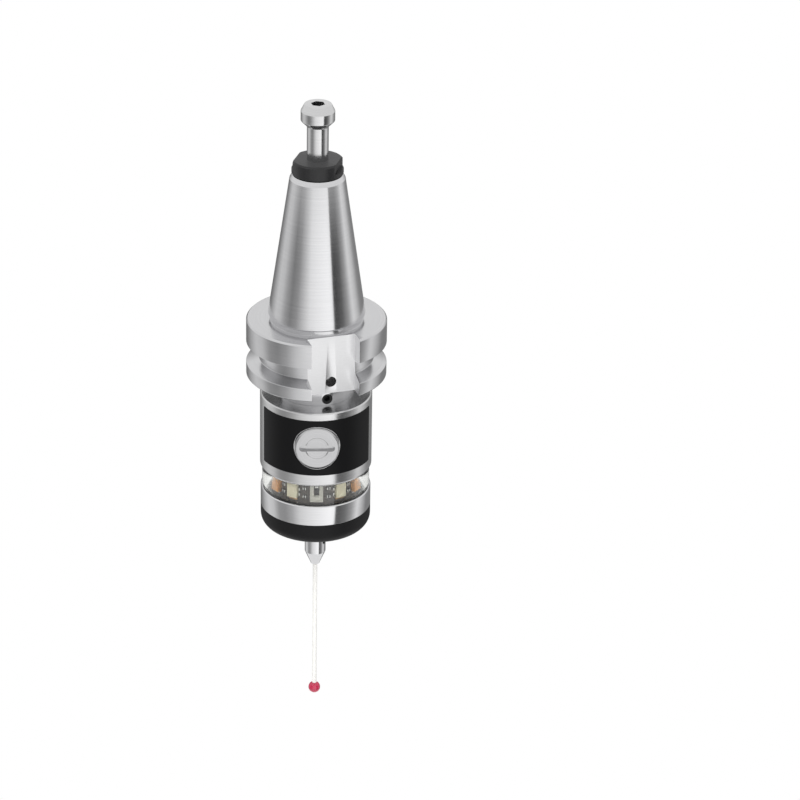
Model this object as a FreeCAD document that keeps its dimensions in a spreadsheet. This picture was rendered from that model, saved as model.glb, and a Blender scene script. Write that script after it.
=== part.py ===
import FreeCAD, Part
import math
import os
import Sketcher

# Spindle touch probe (electronic edge finder) on a 7:24 steep-taper holder.
# Millimetres. The origin is on the tool's axis at the taper's gauge line, +Z points up
# to the pull stud, and the two drive slots face +Y and -Y.
# The probe unit below the holder has its own front, the way the battery cap faces:
# probe parts are drawn with the front along +X and turned about Z by probe_turn.

V = FreeCAD.Vector

SIZES = {
    # holder: taper, flange, neck
    "taper_dia": 31.75,
    "taper_length": 48.4,
    "taper_tip_edge": 0.6,
    "taper_tip_slope": 1.5,
    "relief_depth": 0.6,
    "face_step": 2.0,
    "flange_dia": 46.0,
    "flange_depth": 20.0,
    "flange_edge": 0.5,
    "groove_drop": 11.8,
    "groove_root_dia": 37.5,
    "groove_root_width": 4.0,
    "groove_mouth_width": 7.3,
    "slot_width": 16.1,
    "slot_wall": 16.3,
    "neck_dia": 25.0,
    "neck_length": 6.3,
    "socket_room": 0.5,
    # pull stud
    "collar_dia": 16.8,
    "collar_height": 5.0,
    "collar_lip": 1.8,
    "collar_flats": 14.0,
    "stem_dia": 7.0,
    "stem_length": 11.2,
    "undercut_height": 2.0,
    "head_dia": 11.0,
    "head_land": 3.2,
    "head_cone": 2.3,
    "head_top_dia": 8.7,
    "stud_hex": 4.0,
    "stud_hex_depth": 4.5,
    "pilot_dia": 12.5,
    "pilot_length": 5.0,
    "stud_thread_dia": 12.0,
    "stud_thread_length": 20.0,
    "stud_fit": 0.05,
    "stud_thread_lead": 1.0,
    "stud_thread_runout": 2.0,
    "stud_edge": 0.5,
    "stud_turn": -33.0,
    # set screws, drawn at the thread's pitch diameter
    "screw_dia": 3.5,
    "screw_fit": 0.05,
    "screw_hex": 2.0,
    "screw_hex_depth": 1.8,
    "clamp_screw_sink": 1.45,
    "clamp_screw_drop": 16.0,
    "centring_screw_sink": 0.45,
    "centring_screw_rise": 2.3,
    # probe housing
    "probe_turn": -104.5,
    "housing_dia": 37.0,
    "housing_height": 26.6,
    "housing_wall": 3.5,
    "housing_top_wall": 3.2,
    "housing_top_edge": 0.4,
    "housing_foot_edge": 0.55,
    "housing_foot_slope": 0.8,
    "spigot_dia": 16.4,
    "spigot_play": 0.5,
    "spigot_length": 15.2,
    "spigot_edge": 1.0,
    "spigot_groove_depth": 1.0,
    "spigot_groove_floor": 4.0,
    # label band
    "label_span": 135.0,
    "label_drop": 2.6,
    "label_foot": 4.3,
    "label_thickness": 0.15,
    "label_hole_room": 0.4,
    # battery, its cap and carrier
    "battery_offset": 0.3,
    "cap_dia": 14.7,
    "cap_room": 0.2,
    "cap_sink": 2.2,
    "cap_head": 2.4,
    "cap_edge": 0.5,
    "cap_thread_dia": 12.6,
    "cap_thread_length": 3.4,
    "cap_slot_width": 2.2,
    "cap_slot_length": 11.6,
    "cap_slot_depth": 1.3,
    "cap_seal_cord": 0.9,
    "cap_seal_land": 0.2,
    "cell_dia": 11.6,
    "cell_play": 0.3,
    "cell_nub_dia": 5.6,
    "cell_nub_height": 0.6,
    "carrier_play": 0.2,
    "carrier_back_wall": 2.2,
    "carrier_edge": 0.4,
    "battery_wire": 0.5,
    "battery_spring_length": 3.85,
    "battery_spring_turns": 2.5,
    # main board and the screws that hold it
    "board_play": 0.3,
    "board_room": 0.4,
    "board_thickness": 1.2,
    "carrier_screw_dia": 2.5,
    "carrier_screw_head_dia": 4.0,
    "carrier_screw_head": 1.7,
    "carrier_screw_spacing": 18.0,
    "carrier_screw_bite": 1.9,
    "carrier_screw_room": 0.3,
    "board_chip_radius": 6.5,
    # clear window and its seals
    "window_step": 0.7,
    "window_room": 0.2,
    "window_height": 7.5,
    "seal_cord": 1.0,
    "seal_room": 0.1,
    "seal_inset": 0.85,
    # clamp ring and front cover
    "ring_step": 0.2,
    "ring_height": 7.0,
    "ring_wall": 1.8,
    "ring_lip": 0.8,
    "ring_edge": 0.3,
    "cover_height": 7.7,
    "cover_wall": 2.75,
    "cover_round": 4.2,
    "cover_floor": 2.0,
    "cover_opening": 16.0,
    "cover_opening_edge": 0.5,
    "cover_key_hole": 2.2,
    "cover_key_depth": 1.2,
    "cover_key_spacing": 22.0,
    # mechanism barrel
    "barrel_spigot_height": 4.0,
    "barrel_flange_height": 2.0,
    "barrel_land_drop": 0.8,
    "barrel_land_slope": 1.0,
    "barrel_waist_dia": 27.4,
    "barrel_waist_drop": 0.2,
    "barrel_collar_height": 4.0,
    "barrel_bore": 24.4,
    "barrel_ledge": 1.4,
    "barrel_ledge_width": 3.7,
    "running_gap": 0.05,
    # wrapped sensor board and what it carries
    "wrap_thickness": 0.5,
    "part_height": 6.0,
    "lamp_width": 4.1,
    "lamp_notch": 2.0,
    "receiver_width": 3.4,
    "emitter_width": 3.3,
    "emitter_height": 4.4,
    "chip_width": 3.2,
    "chip_height": 4.6,
    "passive_width": 1.1,
    "passive_height": 1.7,
    "tall_part": 1.2,
    "flat_part": 0.7,
    "receiver_angle": 30.0,
    "emitter_angle": 56.0,
    "chip_angle": 80.0,
    # kinematic seat, spider and spring
    "seat_ring_height": 2.4,
    "seat_ring_inset": 1.3,
    "seat_inset": 2.6,
    "seat_ball_dia": 2.5,
    "seat_ball_spread": 1.6,
    "seat_ball_sink": 1.0,
    "seat_gap": 0.2,
    "rod_dia": 2.5,
    "rod_overhang": 1.2,
    "rod_root": 3.0,
    "hub_dia": 9.0,
    "hub_height": 4.5,
    "hub_below_rods": 2.5,
    "hub_boss_room": 0.35,
    "hub_boss_height": 0.8,
    "hub_bore": 3.6,
    "adjuster_height": 3.0,
    "adjuster_drop": 1.7,
    "adjuster_bore": 3.6,
    "adjuster_slot": 1.6,
    "adjuster_recess_room": 0.75,
    "adjuster_recess": 1.0,
    "spring_wire": 0.7,
    "spring_dia": 6.2,
    "spring_turns": 4.5,
    # stylus and its holder
    "holder_dia": 7.0,
    "holder_reach": 3.0,
    "stylus_thread_dia": 4.0,
    "stylus_thread_length": 5.0,
    "stylus_thread_room": 1.0,
    "stylus_root_dia": 7.0,
    "stylus_root_length": 7.9,
    "stylus_cone_length": 4.85,
    "stylus_cone_dia": 2.8,
    "cross_hole_dia": 1.6,
    "cross_hole_rise": 4.0,
    "cross_hole_turn": -47.0,
    "stem_rod_dia": 1.5,
    "stem_rod_length": 48.35,
    "stem_rod_hold": 6.0,
    "ball_dia": 4.0,
    "ball_hole_depth": 1.4,
    "glue_gap": 0.02,
    # rubber seal between cover and stylus holder
    "diaphragm_play": 0.5,
    "diaphragm_rim_width": 3.0,
    "diaphragm_skin": 0.6,
    "diaphragm_lip_wall": 1.2,
    "diaphragm_lip_height": 2.2,
    "diaphragm_lip_rise": 1.0,
}

TAPER_RISE = 7.0      # a 7:24 taper grows 7 mm in diameter for each 24 mm of length
TAPER_RUN = 24.0
HEX_CORNER = math.cos(math.radians(30.0))   # across flats over across corners
EIGHTH_TURN = math.tan(math.radians(22.5))   # half a side of an octagon over half its width
SCREWS_IN_FLANGE = 2
SCREWS_IN_NECK = 4
CELLS = 2
RUNS_PER_TURN = 16
MITRED = 1            # the corner style of a swept pipe
ARMS = 3

doc = FreeCAD.newDocument("touch_probe")
sheet = doc.addObject("Spreadsheet::Sheet", "Dims")


def fill_sheet():
    """Each driving dimension gets a row: its name, its value and its alias."""
    for row, (alias, value) in enumerate(SIZES.items(), start=1):
        sheet.set(f"A{row}", alias)
        sheet.set(f"B{row}", str(value))
        sheet.setAlias(f"B{row}", alias)
    doc.recompute()


class Size:
    """A length or angle: its present value and the sheet expression that gives it."""

    def __init__(self, value, text):
        self.value = value
        self.text = text

    def __add__(self, other):
        other = as_size(other)
        return Size(self.value + other.value, f"({self.text} + {other.text})")

    def __sub__(self, other):
        other = as_size(other)
        return Size(self.value - other.value, f"({self.text} - {other.text})")

    def __mul__(self, other):
        other = as_size(other)
        return Size(self.value * other.value, f"({self.text} * {other.text})")

    def __truediv__(self, other):
        other = as_size(other)
        return Size(self.value / other.value, f"({self.text} / {other.text})")

    def __neg__(self):
        return Size(-self.value, f"(0 - {self.text})")


def as_size(thing):
    if isinstance(thing, Size):
        return thing
    return Size(float(thing), repr(float(thing)))


def dim(alias):
    """A driving dimension, read from the sheet."""
    return Size(float(sheet.get(alias)), f"Dims.{alias}")


def root(size):
    return Size(math.sqrt(size.value), f"sqrt({size.text})")


def cosine(angle):
    return Size(math.cos(math.radians(angle.value)), f"cos({angle.text})")


def sine(angle):
    return Size(math.sin(math.radians(angle.value)), f"sin({angle.text})")


ZERO = as_size(0.0)
fill_sheet()

# Levels down the tool, each from the one above it.
TAPER_TOP = dim("taper_length")
FLANGE_TOP = -dim("face_step")
FLANGE_BOTTOM = FLANGE_TOP - dim("flange_depth")
NECK_BOTTOM = FLANGE_BOTTOM - dim("neck_length")
HOUSING_BOTTOM = NECK_BOTTOM - dim("housing_height")
WINDOW_BOTTOM = HOUSING_BOTTOM - dim("window_height")
RING_BOTTOM = WINDOW_BOTTOM - dim("ring_height")
COVER_BOTTOM = RING_BOTTOM - dim("cover_height")
STYLUS_SEAT = COVER_BOTTOM - dim("holder_reach")
CONE_TOP = STYLUS_SEAT - dim("stylus_root_length")
CONE_BOTTOM = CONE_TOP - dim("stylus_cone_length")
BALL_CENTRE = CONE_BOTTOM - dim("stem_rod_length")

# Levels inside the probe.
SPIGOT_TOP = NECK_BOTTOM + dim("spigot_length")
CAVITY_TOP = NECK_BOTTOM - dim("housing_top_wall")
BARREL_TOP = HOUSING_BOTTOM + dim("barrel_collar_height")
BOARD_BOTTOM = BARREL_TOP + dim("board_room")
BOARD_TOP = BOARD_BOTTOM + dim("board_thickness")
BATTERY_AXIS = (CAVITY_TOP + BOARD_TOP) / 2 - dim("battery_offset")
LABEL_TOP = NECK_BOTTOM - dim("label_drop")
LABEL_BOTTOM = HOUSING_BOTTOM + dim("label_foot")
BARREL_BOTTOM = RING_BOTTOM - dim("barrel_spigot_height")
WAIST_TOP = HOUSING_BOTTOM - dim("barrel_waist_drop")
WAIST_BOTTOM = WINDOW_BOTTOM - dim("barrel_land_drop")
SEAT_BOTTOM = BARREL_BOTTOM + dim("barrel_ledge")
SEAT_TOP = SEAT_BOTTOM + dim("seat_ring_height")
SEAT_BALLS = SEAT_TOP + dim("seat_ball_dia") / 2 - dim("seat_ball_sink")
ADJUSTER_TOP = BARREL_TOP - dim("adjuster_drop")
ADJUSTER_BOTTOM = ADJUSTER_TOP - dim("adjuster_height")
SPRING_TOP = ADJUSTER_BOTTOM + dim("adjuster_recess")

# Radii inwards from the housing's, each piece's from its neighbour's.
HOUSING_RADIUS = dim("housing_dia") / 2
HOUSING_BORE = HOUSING_RADIUS - dim("housing_wall")
CAP_SEAT = HOUSING_RADIUS - dim("cap_sink")
CAP_STEM_END = CAP_SEAT - dim("cap_thread_length") - dim("running_gap")
CARRIER_RADIUS = HOUSING_BORE - dim("carrier_play")
CARRIER_BACK = CARRIER_RADIUS - dim("carrier_back_wall")
CARRIER_BORE = dim("cell_dia") / 2 + dim("cell_play")
CELL_LENGTH = (CAP_STEM_END + CARRIER_BACK - dim("battery_spring_length")) / CELLS
WINDOW_RADIUS = HOUSING_RADIUS - dim("window_step")
SEAL_RADIUS = WINDOW_RADIUS - dim("seal_inset")
RING_RADIUS = HOUSING_RADIUS - dim("ring_step")
RING_BORE = RING_RADIUS - dim("ring_wall")
RING_RECESS = RING_RADIUS - dim("ring_lip")
COVER_BORE = RING_RADIUS - dim("cover_wall")
DIAPHRAGM_RIM = COVER_BORE - dim("running_gap") - dim("diaphragm_play")

# Radii outwards from the barrel's, which carries the sensor board and the seats.
BOARD_FACE = dim("barrel_waist_dia") / 2 + dim("wrap_thickness")
WINDOW_BORE = BOARD_FACE + dim("tall_part") + dim("window_room")
BARREL_BORE = dim("barrel_bore") / 2
LEDGE_BORE = BARREL_BORE - dim("barrel_ledge_width")
SEAT_RADIUS = BARREL_BORE - dim("seat_inset")

# A rod lies in the saddle between two balls, the centres of all three in one triangle.
BALL_TO_ROD = (dim("seat_ball_dia") + dim("rod_dia")) / 2
SADDLE_HEIGHT = root(BALL_TO_ROD * BALL_TO_ROD - dim("seat_ball_spread") * dim("seat_ball_spread"))
ROD_LEVEL = SEAT_BALLS + SADDLE_HEIGHT + dim("seat_gap")
HUB_BOTTOM = ROD_LEVEL - dim("hub_below_rods")
HUB_TOP = HUB_BOTTOM + dim("hub_height")


# ---------------------------------------------------------------- drawing helpers

def put(piece, across, side, up, turn, tip=None):
    """Place a piece by expression: moved, turned about Z and, where tip is given, first
    tipped about Y."""
    turned = f"rotation(vector(0; 0; 1); {turn.text})"
    rotation = FreeCAD.Rotation(V(0, 0, 1), turn.value)
    if tip is not None:
        turned = f"{turned} * rotation(vector(0; 1; 0); {tip.text})"
        rotation = rotation * FreeCAD.Rotation(V(0, 1, 0), tip.value)
    piece.Placement = FreeCAD.Placement(V(across.value, side.value, up.value), rotation)
    moved = f"vector({across.text}; {side.text}; {up.text})"
    piece.setExpression("Placement", f"placement({moved}; {turned})")
    return piece


def put_round(piece, radius, angle, up, tip=None):
    """Place a piece at a radius and an angle round the tool's axis, facing outwards."""
    return put(piece, radius * cosine(angle), radius * sine(angle), up, angle, tip)


def origin_plane(body, role):
    for feature in body.Origin.OriginFeatures:
        if feature.Role == role:
            return feature
    raise ValueError(role)


def new_sketch(body, name, role, offset=None):
    """A sketch on one of the body's own planes, moved along the plane's normal."""
    sketch = body.newObject("Sketcher::SketchObject", name)
    sketch.AttachmentSupport = [(origin_plane(body, role), "")]
    sketch.MapMode = "FlatFace"
    if offset is not None:
        sketch.AttachmentOffset = FreeCAD.Placement(V(0, 0, offset.value), FreeCAD.Rotation())
        sketch.setExpression("AttachmentOffset.Base.z", offset.text)
    return sketch


def fix_distance(sketch, kind, geometry, vertex, size):
    """Dimension a point from the sketch's origin along one axis."""
    if size is ZERO:
        axis = -2 if kind == "DistanceX" else -1
        sketch.addConstraint(Sketcher.Constraint("PointOnObject", geometry, vertex, axis))
        return
    index = sketch.addConstraint(
        Sketcher.Constraint(kind, -1, 1, geometry, vertex, size.value))
    sketch.setExpression(f"Constraints[{index}]", size.text)


def draw_outline(sketch, corners):
    """A closed outline of straight edges with every corner dimensioned."""
    count = len(corners)
    first = sketch.GeometryCount
    points = [V(across.value, up.value, 0) for across, up in corners]
    for index in range(count):
        sketch.addGeometry(Part.LineSegment(points[index], points[(index + 1) % count]), False)
    for index in range(count):
        after = first + (index + 1) % count
        sketch.addConstraint(Sketcher.Constraint("Coincident", first + index, 2, after, 1))
    for index, (across, up) in enumerate(corners):
        fix_distance(sketch, "DistanceX", first + index, 1, across)
        fix_distance(sketch, "DistanceY", first + index, 1, up)


def draw_circle(sketch, across, up, radius):
    index = sketch.addGeometry(
        Part.Circle(V(across.value, up.value, 0), V(0, 0, 1), radius.value), False)
    fix_distance(sketch, "DistanceX", index, 3, across)
    fix_distance(sketch, "DistanceY", index, 3, up)
    bound = sketch.addConstraint(Sketcher.Constraint("Radius", index, radius.value))
    sketch.setExpression(f"Constraints[{bound}]", radius.text)


def draw_box(sketch, left, right, low, high):
    draw_outline(sketch, [(left, low), (right, low), (right, high), (left, high)])


def draw_hexagon(sketch, flats, turn=0.0):
    """A hexagon round the origin, given across its flats."""
    reach = flats / (2 * HEX_CORNER)
    corners = []
    for step in range(6):
        angle = math.radians(turn + 60 * step)
        corners.append((reach * math.cos(angle), reach * math.sin(angle)))
    draw_outline(sketch, corners)


def draw_stadium(sketch, length, width):
    """A slot with round ends, centred on the origin and lying along the first axis."""
    half = (length - width) / 2
    radius = width / 2
    ends = ((half, -90.0), (-half, 90.0))
    for across, start in ends:
        circle = Part.Circle(V(across.value, 0, 0), V(0, 0, 1), radius.value)
        begin = math.radians(start)
        sketch.addGeometry(Part.ArcOfCircle(circle, begin, begin + math.pi), False)
    top = Part.LineSegment(V(half.value, radius.value, 0), V(-half.value, radius.value, 0))
    low = Part.LineSegment(V(-half.value, -radius.value, 0), V(half.value, -radius.value, 0))
    sketch.addGeometry(top, False)
    sketch.addGeometry(low, False)
    for joint in ((0, 2, 2, 1), (2, 2, 1, 1), (1, 2, 3, 1), (3, 2, 0, 1)):
        sketch.addConstraint(Sketcher.Constraint("Tangent", *joint))
    for index, (across, start) in enumerate(ends):
        fix_distance(sketch, "DistanceX", index, 3, across)
        sketch.addConstraint(Sketcher.Constraint("PointOnObject", index, 3, -1))
    bound = sketch.addConstraint(Sketcher.Constraint("Radius", 0, radius.value))
    sketch.setExpression(f"Constraints[{bound}]", radius.text)


def turned_body(name, corners, up, turn=ZERO, span=360.0):
    """A piece turned from a half outline of (radius, height) corners."""
    body = doc.addObject("PartDesign::Body", name)
    sketch = new_sketch(body, f"{name}_outline", "XZ_Plane")
    draw_outline(sketch, corners)
    turned = body.newObject("PartDesign::Revolution", f"{name}_turned")
    turned.Profile = sketch
    turned.ReferenceAxis = (sketch, ["V_Axis"])
    turned.Angle = span
    put(body, ZERO, ZERO, up, turn)
    doc.recompute()
    return body


def cut_pocket(body, sketch, depth=None, both=False, reverse=False):
    """Cut a sketch into the body; with no depth it goes right through. The cut has to take
    material away."""
    before = body.Shape.Volume
    pocket = body.newObject("PartDesign::Pocket", f"{sketch.Name}_cut")
    pocket.Profile = sketch
    pocket.Reversed = reverse
    if depth is None:
        pocket.Type = "ThroughAll"
    else:
        pocket.Type = "Length"
        pocket.Length = depth.value
        pocket.setExpression("Length", depth.text)
    if both:
        pocket.SideType = "Symmetric"
    doc.recompute()
    if body.Shape.Volume >= before:
        raise RuntimeError(f"{sketch.Name} cuts nothing")
    return pocket


def repeat_round(body, feature, count):
    """Repeat a cut round the body's Z axis."""
    pattern = body.newObject("PartDesign::PolarPattern", f"{feature.Name}_round")
    pattern.Originals = [feature]
    pattern.Axis = (origin_plane(body, "Z_Axis"), [""])
    pattern.Angle = 360
    pattern.Occurrences = count
    body.Tip = pattern
    doc.recompute()
    return pattern


def round_edges(body, radius, edge_radius, height):
    """Fillet the circular edge of a given radius at a given height."""
    names = []
    for number, edge in enumerate(body.Shape.Edges, start=1):
        if not isinstance(edge.Curve, Part.Circle):
            continue
        centre = body.Placement.inverse().multVec(edge.Curve.Center)
        same_radius = abs(edge.Curve.Radius - edge_radius.value) < 0.001
        if same_radius and abs(centre.z - height.value) < 0.001:
            names.append(f"Edge{number}")
    turned = body.Tip
    fillet = body.newObject("PartDesign::Fillet", f"{body.Name}_round")
    fillet.Base = (turned, names)
    fillet.Radius = radius.value
    fillet.setExpression("Radius", radius.text)
    body.Tip = fillet
    doc.recompute()
    return fillet


def solid(kind, name, sizes):
    """A Part primitive with its sizes bound to the sheet."""
    piece = doc.addObject(kind, name)
    for key, size in sizes.items():
        setattr(piece, key, size.value)
        piece.setExpression(key, size.text)
    return piece


def group(name, pieces):
    """Separate like solids kept as one node."""
    holder = doc.addObject("Part::Compound", name)
    holder.Links = pieces
    return holder


def cut_away(name, base, tool):
    piece = doc.addObject("Part::Cut", name)
    piece.Base = base
    piece.Tool = tool
    return piece


# ---------------------------------------------------------------- holder

def taper_shank():
    """The holder: 7:24 taper, relief, V-flange with two drive slots, neck, and a bore at each
    end, for the pull stud above and the probe's spigot below."""
    base = NECK_BOTTOM
    big = dim("taper_dia") / 2
    small = (dim("taper_dia") - TAPER_TOP * TAPER_RISE / TAPER_RUN) / 2
    tip_slope = dim("taper_tip_slope")
    edge = dim("flange_edge")
    rim = dim("flange_dia") / 2
    groove_level = FLANGE_TOP - dim("groove_drop") - base
    mouth = dim("groove_mouth_width") / 2
    floor = dim("groove_root_width") / 2
    groove_root = dim("groove_root_dia") / 2
    neck = dim("neck_dia") / 2
    socket = dim("spigot_dia") / 2 + dim("spigot_play")
    socket_top = SPIGOT_TOP + dim("socket_room") - base
    thread = dim("stud_thread_dia") / 2 + dim("stud_fit")
    pilot = dim("pilot_dia") / 2 + dim("stud_fit")
    pilot_floor = TAPER_TOP - dim("pilot_length") - dim("socket_room") - base
    thread_floor = TAPER_TOP - dim("pilot_length") - dim("stud_thread_length")
    thread_floor = thread_floor - dim("stud_thread_runout") - base
    flange_low = FLANGE_BOTTOM - base
    flange_high = FLANGE_TOP - base
    top = TAPER_TOP - base
    gauge = -base
    corners = [
        (ZERO, socket_top),
        (socket, socket_top),
        (socket, ZERO),
        (neck, ZERO),
        (neck, flange_low),
        (rim - edge, flange_low),
        (rim, flange_low + edge),
        (rim, groove_level - mouth),
        (groove_root, groove_level - floor),
        (groove_root, groove_level + floor),
        (rim, groove_level + mouth),
        (rim, flange_high - edge),
        (rim - edge, flange_high),
        (big - dim("relief_depth"), flange_high),
        (big - dim("relief_depth"), gauge - edge),
        (big, gauge),
        (small + tip_slope * TAPER_RISE / TAPER_RUN / 2, top - tip_slope),
        (small - dim("taper_tip_edge"), top),
        (pilot, top),
        (pilot, pilot_floor),
        (thread, pilot_floor),
        (thread, thread_floor),
        (ZERO, thread_floor - thread / 2),
    ]
    body = turned_body("taper_shank", corners, base)

    slot = new_sketch(body, "drive_slot", "XY_Plane", flange_high)
    half = dim("slot_width") / 2
    draw_box(slot, -half, half, dim("slot_wall"), rim + edge)
    slot_cut = cut_pocket(body, slot, dim("flange_depth") + edge)
    repeat_round(body, slot_cut, 2)

    hole = dim("screw_dia") / 2 + dim("screw_fit")
    clamp_hole = new_sketch(body, "clamp_screw_hole", "XZ_Plane")
    draw_circle(clamp_hole, ZERO, FLANGE_TOP - dim("clamp_screw_drop") - base, hole)
    clamp_cut = cut_pocket(body, clamp_hole)
    repeat_round(body, clamp_cut, SCREWS_IN_FLANGE)

    neck_hole = new_sketch(body, "centring_screw_hole", "XZ_Plane")
    draw_circle(neck_hole, ZERO, dim("centring_screw_rise"), hole)
    neck_cut = cut_pocket(body, neck_hole)
    repeat_round(body, neck_cut, SCREWS_IN_NECK)
    return body


def pull_stud():
    """One turned stud: thread and pilot, collar with two spanner flats, stem, 45 degree
    undercut and head, with a hexagon socket in its top."""
    depth = dim("pilot_length") + dim("stud_thread_length")
    base = TAPER_TOP - depth
    stem = dim("stem_dia") / 2
    head = dim("head_dia") / 2
    collar = dim("collar_dia") / 2
    collar_top = depth + dim("collar_height")
    undercut = collar_top + dim("stem_length")
    land = undercut + dim("undercut_height")
    cone = land + dim("head_land")
    top = cone + dim("head_cone")
    thread = dim("stud_thread_dia") / 2
    edge = dim("stud_edge")
    lead = dim("stud_thread_lead")
    corners = [
        (ZERO, ZERO),
        (thread - lead, ZERO),
        (thread, lead),
        (thread, dim("stud_thread_length")),
        (dim("pilot_dia") / 2, dim("stud_thread_length")),
        (dim("pilot_dia") / 2, depth),
        (collar - edge, depth),
        (collar, depth + edge),
        (collar, collar_top - edge),
        (collar - edge, collar_top),
        (stem, collar_top),
        (stem, undercut),
        (head, land),
        (head, cone),
        (dim("head_top_dia") / 2, top),
        (ZERO, top),
    ]
    body = turned_body("pull_stud", corners, base, turn=dim("stud_turn"))

    flats = new_sketch(body, "collar_flats", "XY_Plane", collar_top)
    reach = collar + edge
    flat = dim("collar_flats") / 2
    draw_box(flats, flat, reach, -reach, reach)
    flat_cut = cut_pocket(body, flats, dim("collar_height") - dim("collar_lip"))
    repeat_round(body, flat_cut, 2)

    socket = new_sketch(body, "stud_socket", "XY_Plane", top)
    draw_hexagon(socket, dim("stud_hex"))
    cut_pocket(body, socket, dim("stud_hex_depth"))
    return body


def set_screw(name, inner, length, angle, level):
    """A socket set screw lying along a radius, its hexagon socket facing outwards."""
    blank = solid("Part::Cylinder", f"{name}_blank", {"Radius": dim("screw_dia") / 2, "Height": length})
    socket = solid("Part::Prism", f"{name}_socket", {
        "Circumradius": dim("screw_hex") / (2 * HEX_CORNER),
        "Height": dim("screw_hex_depth") * 2,
    })
    tip = as_size(90.0)
    put_round(blank, inner, angle, level, tip)
    put_round(socket, inner + length - dim("screw_hex_depth"), angle, level, tip)
    return cut_away(name, blank, socket)


def clamp_screws():
    """Two screws in the drive slots, which bear on the floor of the spigot's groove."""
    inner = dim("spigot_dia") / 2 - dim("spigot_groove_depth") + dim("screw_fit")
    length = dim("slot_wall") - dim("clamp_screw_sink") - inner
    level = FLANGE_TOP - dim("clamp_screw_drop")
    pieces = []
    for index in range(SCREWS_IN_FLANGE):
        angle = as_size(90.0 + 360.0 * index / SCREWS_IN_FLANGE)
        name = f"clamp_screw_{index + 1}"
        pieces.append(set_screw(name, inner, length, angle, level))
    return group("clamp_screws", pieces)


def centring_screws():
    """Four screws round the neck, which push the spigot sideways to run true."""
    inner = dim("spigot_dia") / 2 + dim("screw_fit")
    length = dim("neck_dia") / 2 - dim("centring_screw_sink") - inner
    level = NECK_BOTTOM + dim("centring_screw_rise")
    pieces = []
    for index in range(SCREWS_IN_NECK):
        angle = as_size(90.0 + 360.0 * index / SCREWS_IN_NECK)
        name = f"centring_screw_{index + 1}"
        pieces.append(set_screw(name, inner, length, angle, level))
    return group("centring_screws", pieces)


# ---------------------------------------------------------------- probe housing and battery

def probe_housing():
    """Turned housing: a grooved spigot up into the holder, a bore open below, a spot-faced and
    threaded hole for the battery cap, and a seal groove in its foot."""
    base = HOUSING_BOTTOM
    outer = HOUSING_RADIUS
    bore = HOUSING_BORE
    spigot = dim("spigot_dia") / 2
    edge = dim("housing_top_edge")
    lead = dim("spigot_edge")
    shoulder = NECK_BOTTOM - base
    top = SPIGOT_TOP - base
    groove_level = FLANGE_TOP - dim("clamp_screw_drop") - base
    groove_depth = dim("spigot_groove_depth")
    floor = dim("spigot_groove_floor") / 2
    foot = outer - dim("housing_foot_edge")
    seal_half = dim("seal_cord") / 2 + dim("seal_room")
    corners = [
        (ZERO, CAVITY_TOP - base),
        (bore, CAVITY_TOP - base),
        (bore, ZERO),
        (SEAL_RADIUS - seal_half, ZERO),
        (SEAL_RADIUS - seal_half, dim("seal_cord")),
        (SEAL_RADIUS + seal_half, dim("seal_cord")),
        (SEAL_RADIUS + seal_half, ZERO),
        (foot, ZERO),
        (outer, dim("housing_foot_slope")),
        (outer, shoulder - edge),
        (outer - edge, shoulder),
        (spigot, shoulder),
        (spigot, groove_level - floor - groove_depth),
        (spigot - groove_depth, groove_level - floor),
        (spigot - groove_depth, groove_level + floor),
        (spigot, groove_level + floor + groove_depth),
        (spigot, top - lead),
        (spigot - lead, top),
        (ZERO, top),
    ]
    body = turned_body("probe_housing", corners, base, turn=dim("probe_turn"))

    level = BATTERY_AXIS - base
    spot = new_sketch(body, "cap_spot_face", "YZ_Plane", CAP_SEAT)
    draw_circle(spot, ZERO, level, dim("cap_dia") / 2 + dim("cap_room"))
    cut_pocket(body, spot, dim("cap_head") * 2, reverse=True)
    thread = new_sketch(body, "cap_thread_hole", "YZ_Plane")
    draw_circle(thread, ZERO, level, dim("cap_thread_dia") / 2 + dim("running_gap"))
    cut_pocket(body, thread, CAP_SEAT + dim("cap_head"), reverse=True)

    lug = new_sketch(body, "carrier_screw_hole", "XY_Plane", CAVITY_TOP - base)
    hole = dim("carrier_screw_dia") / 2 + dim("glue_gap")
    for side in (-1.0, 1.0):
        draw_circle(lug, ZERO, dim("carrier_screw_spacing") / 2 * side, hole)
    cut_pocket(body, lug, dim("carrier_screw_bite") + dim("carrier_screw_room"), reverse=True)
    return body


def label_band():
    """Thin band glued part way round the housing, with a hole for the battery cap."""
    inner = HOUSING_RADIUS + dim("glue_gap")
    outer = inner + dim("label_thickness")
    height = LABEL_TOP - LABEL_BOTTOM
    span = dim("label_span")
    corners = [(inner, ZERO), (outer, ZERO), (outer, height), (inner, height)]
    body = turned_body("label_band", corners, LABEL_BOTTOM, dim("probe_turn") - span / 2, span.value)
    doc.getObject("label_band_turned").setExpression("Angle", span.text)
    doc.recompute()
    return body


def cut_label_hole(body):
    """The hole faces the middle of the band: a plane through the axis at half its span."""
    hole = body.newObject("Sketcher::SketchObject", "label_hole")
    hole.AttachmentSupport = [(origin_plane(body, "YZ_Plane"), "")]
    hole.MapMode = "FlatFace"
    half = dim("label_span") / 2
    hole.AttachmentOffset = FreeCAD.Placement(V(0, 0, 0), FreeCAD.Rotation(V(0, 1, 0), half.value))
    hole.setExpression("AttachmentOffset.Rotation.Angle", half.text)
    draw_circle(hole, ZERO, BATTERY_AXIS - LABEL_BOTTOM, dim("cap_dia") / 2 + dim("label_hole_room"))
    doc.recompute()
    cut_pocket(body, hole, dim("housing_dia"), reverse=True)
    return body


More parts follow.
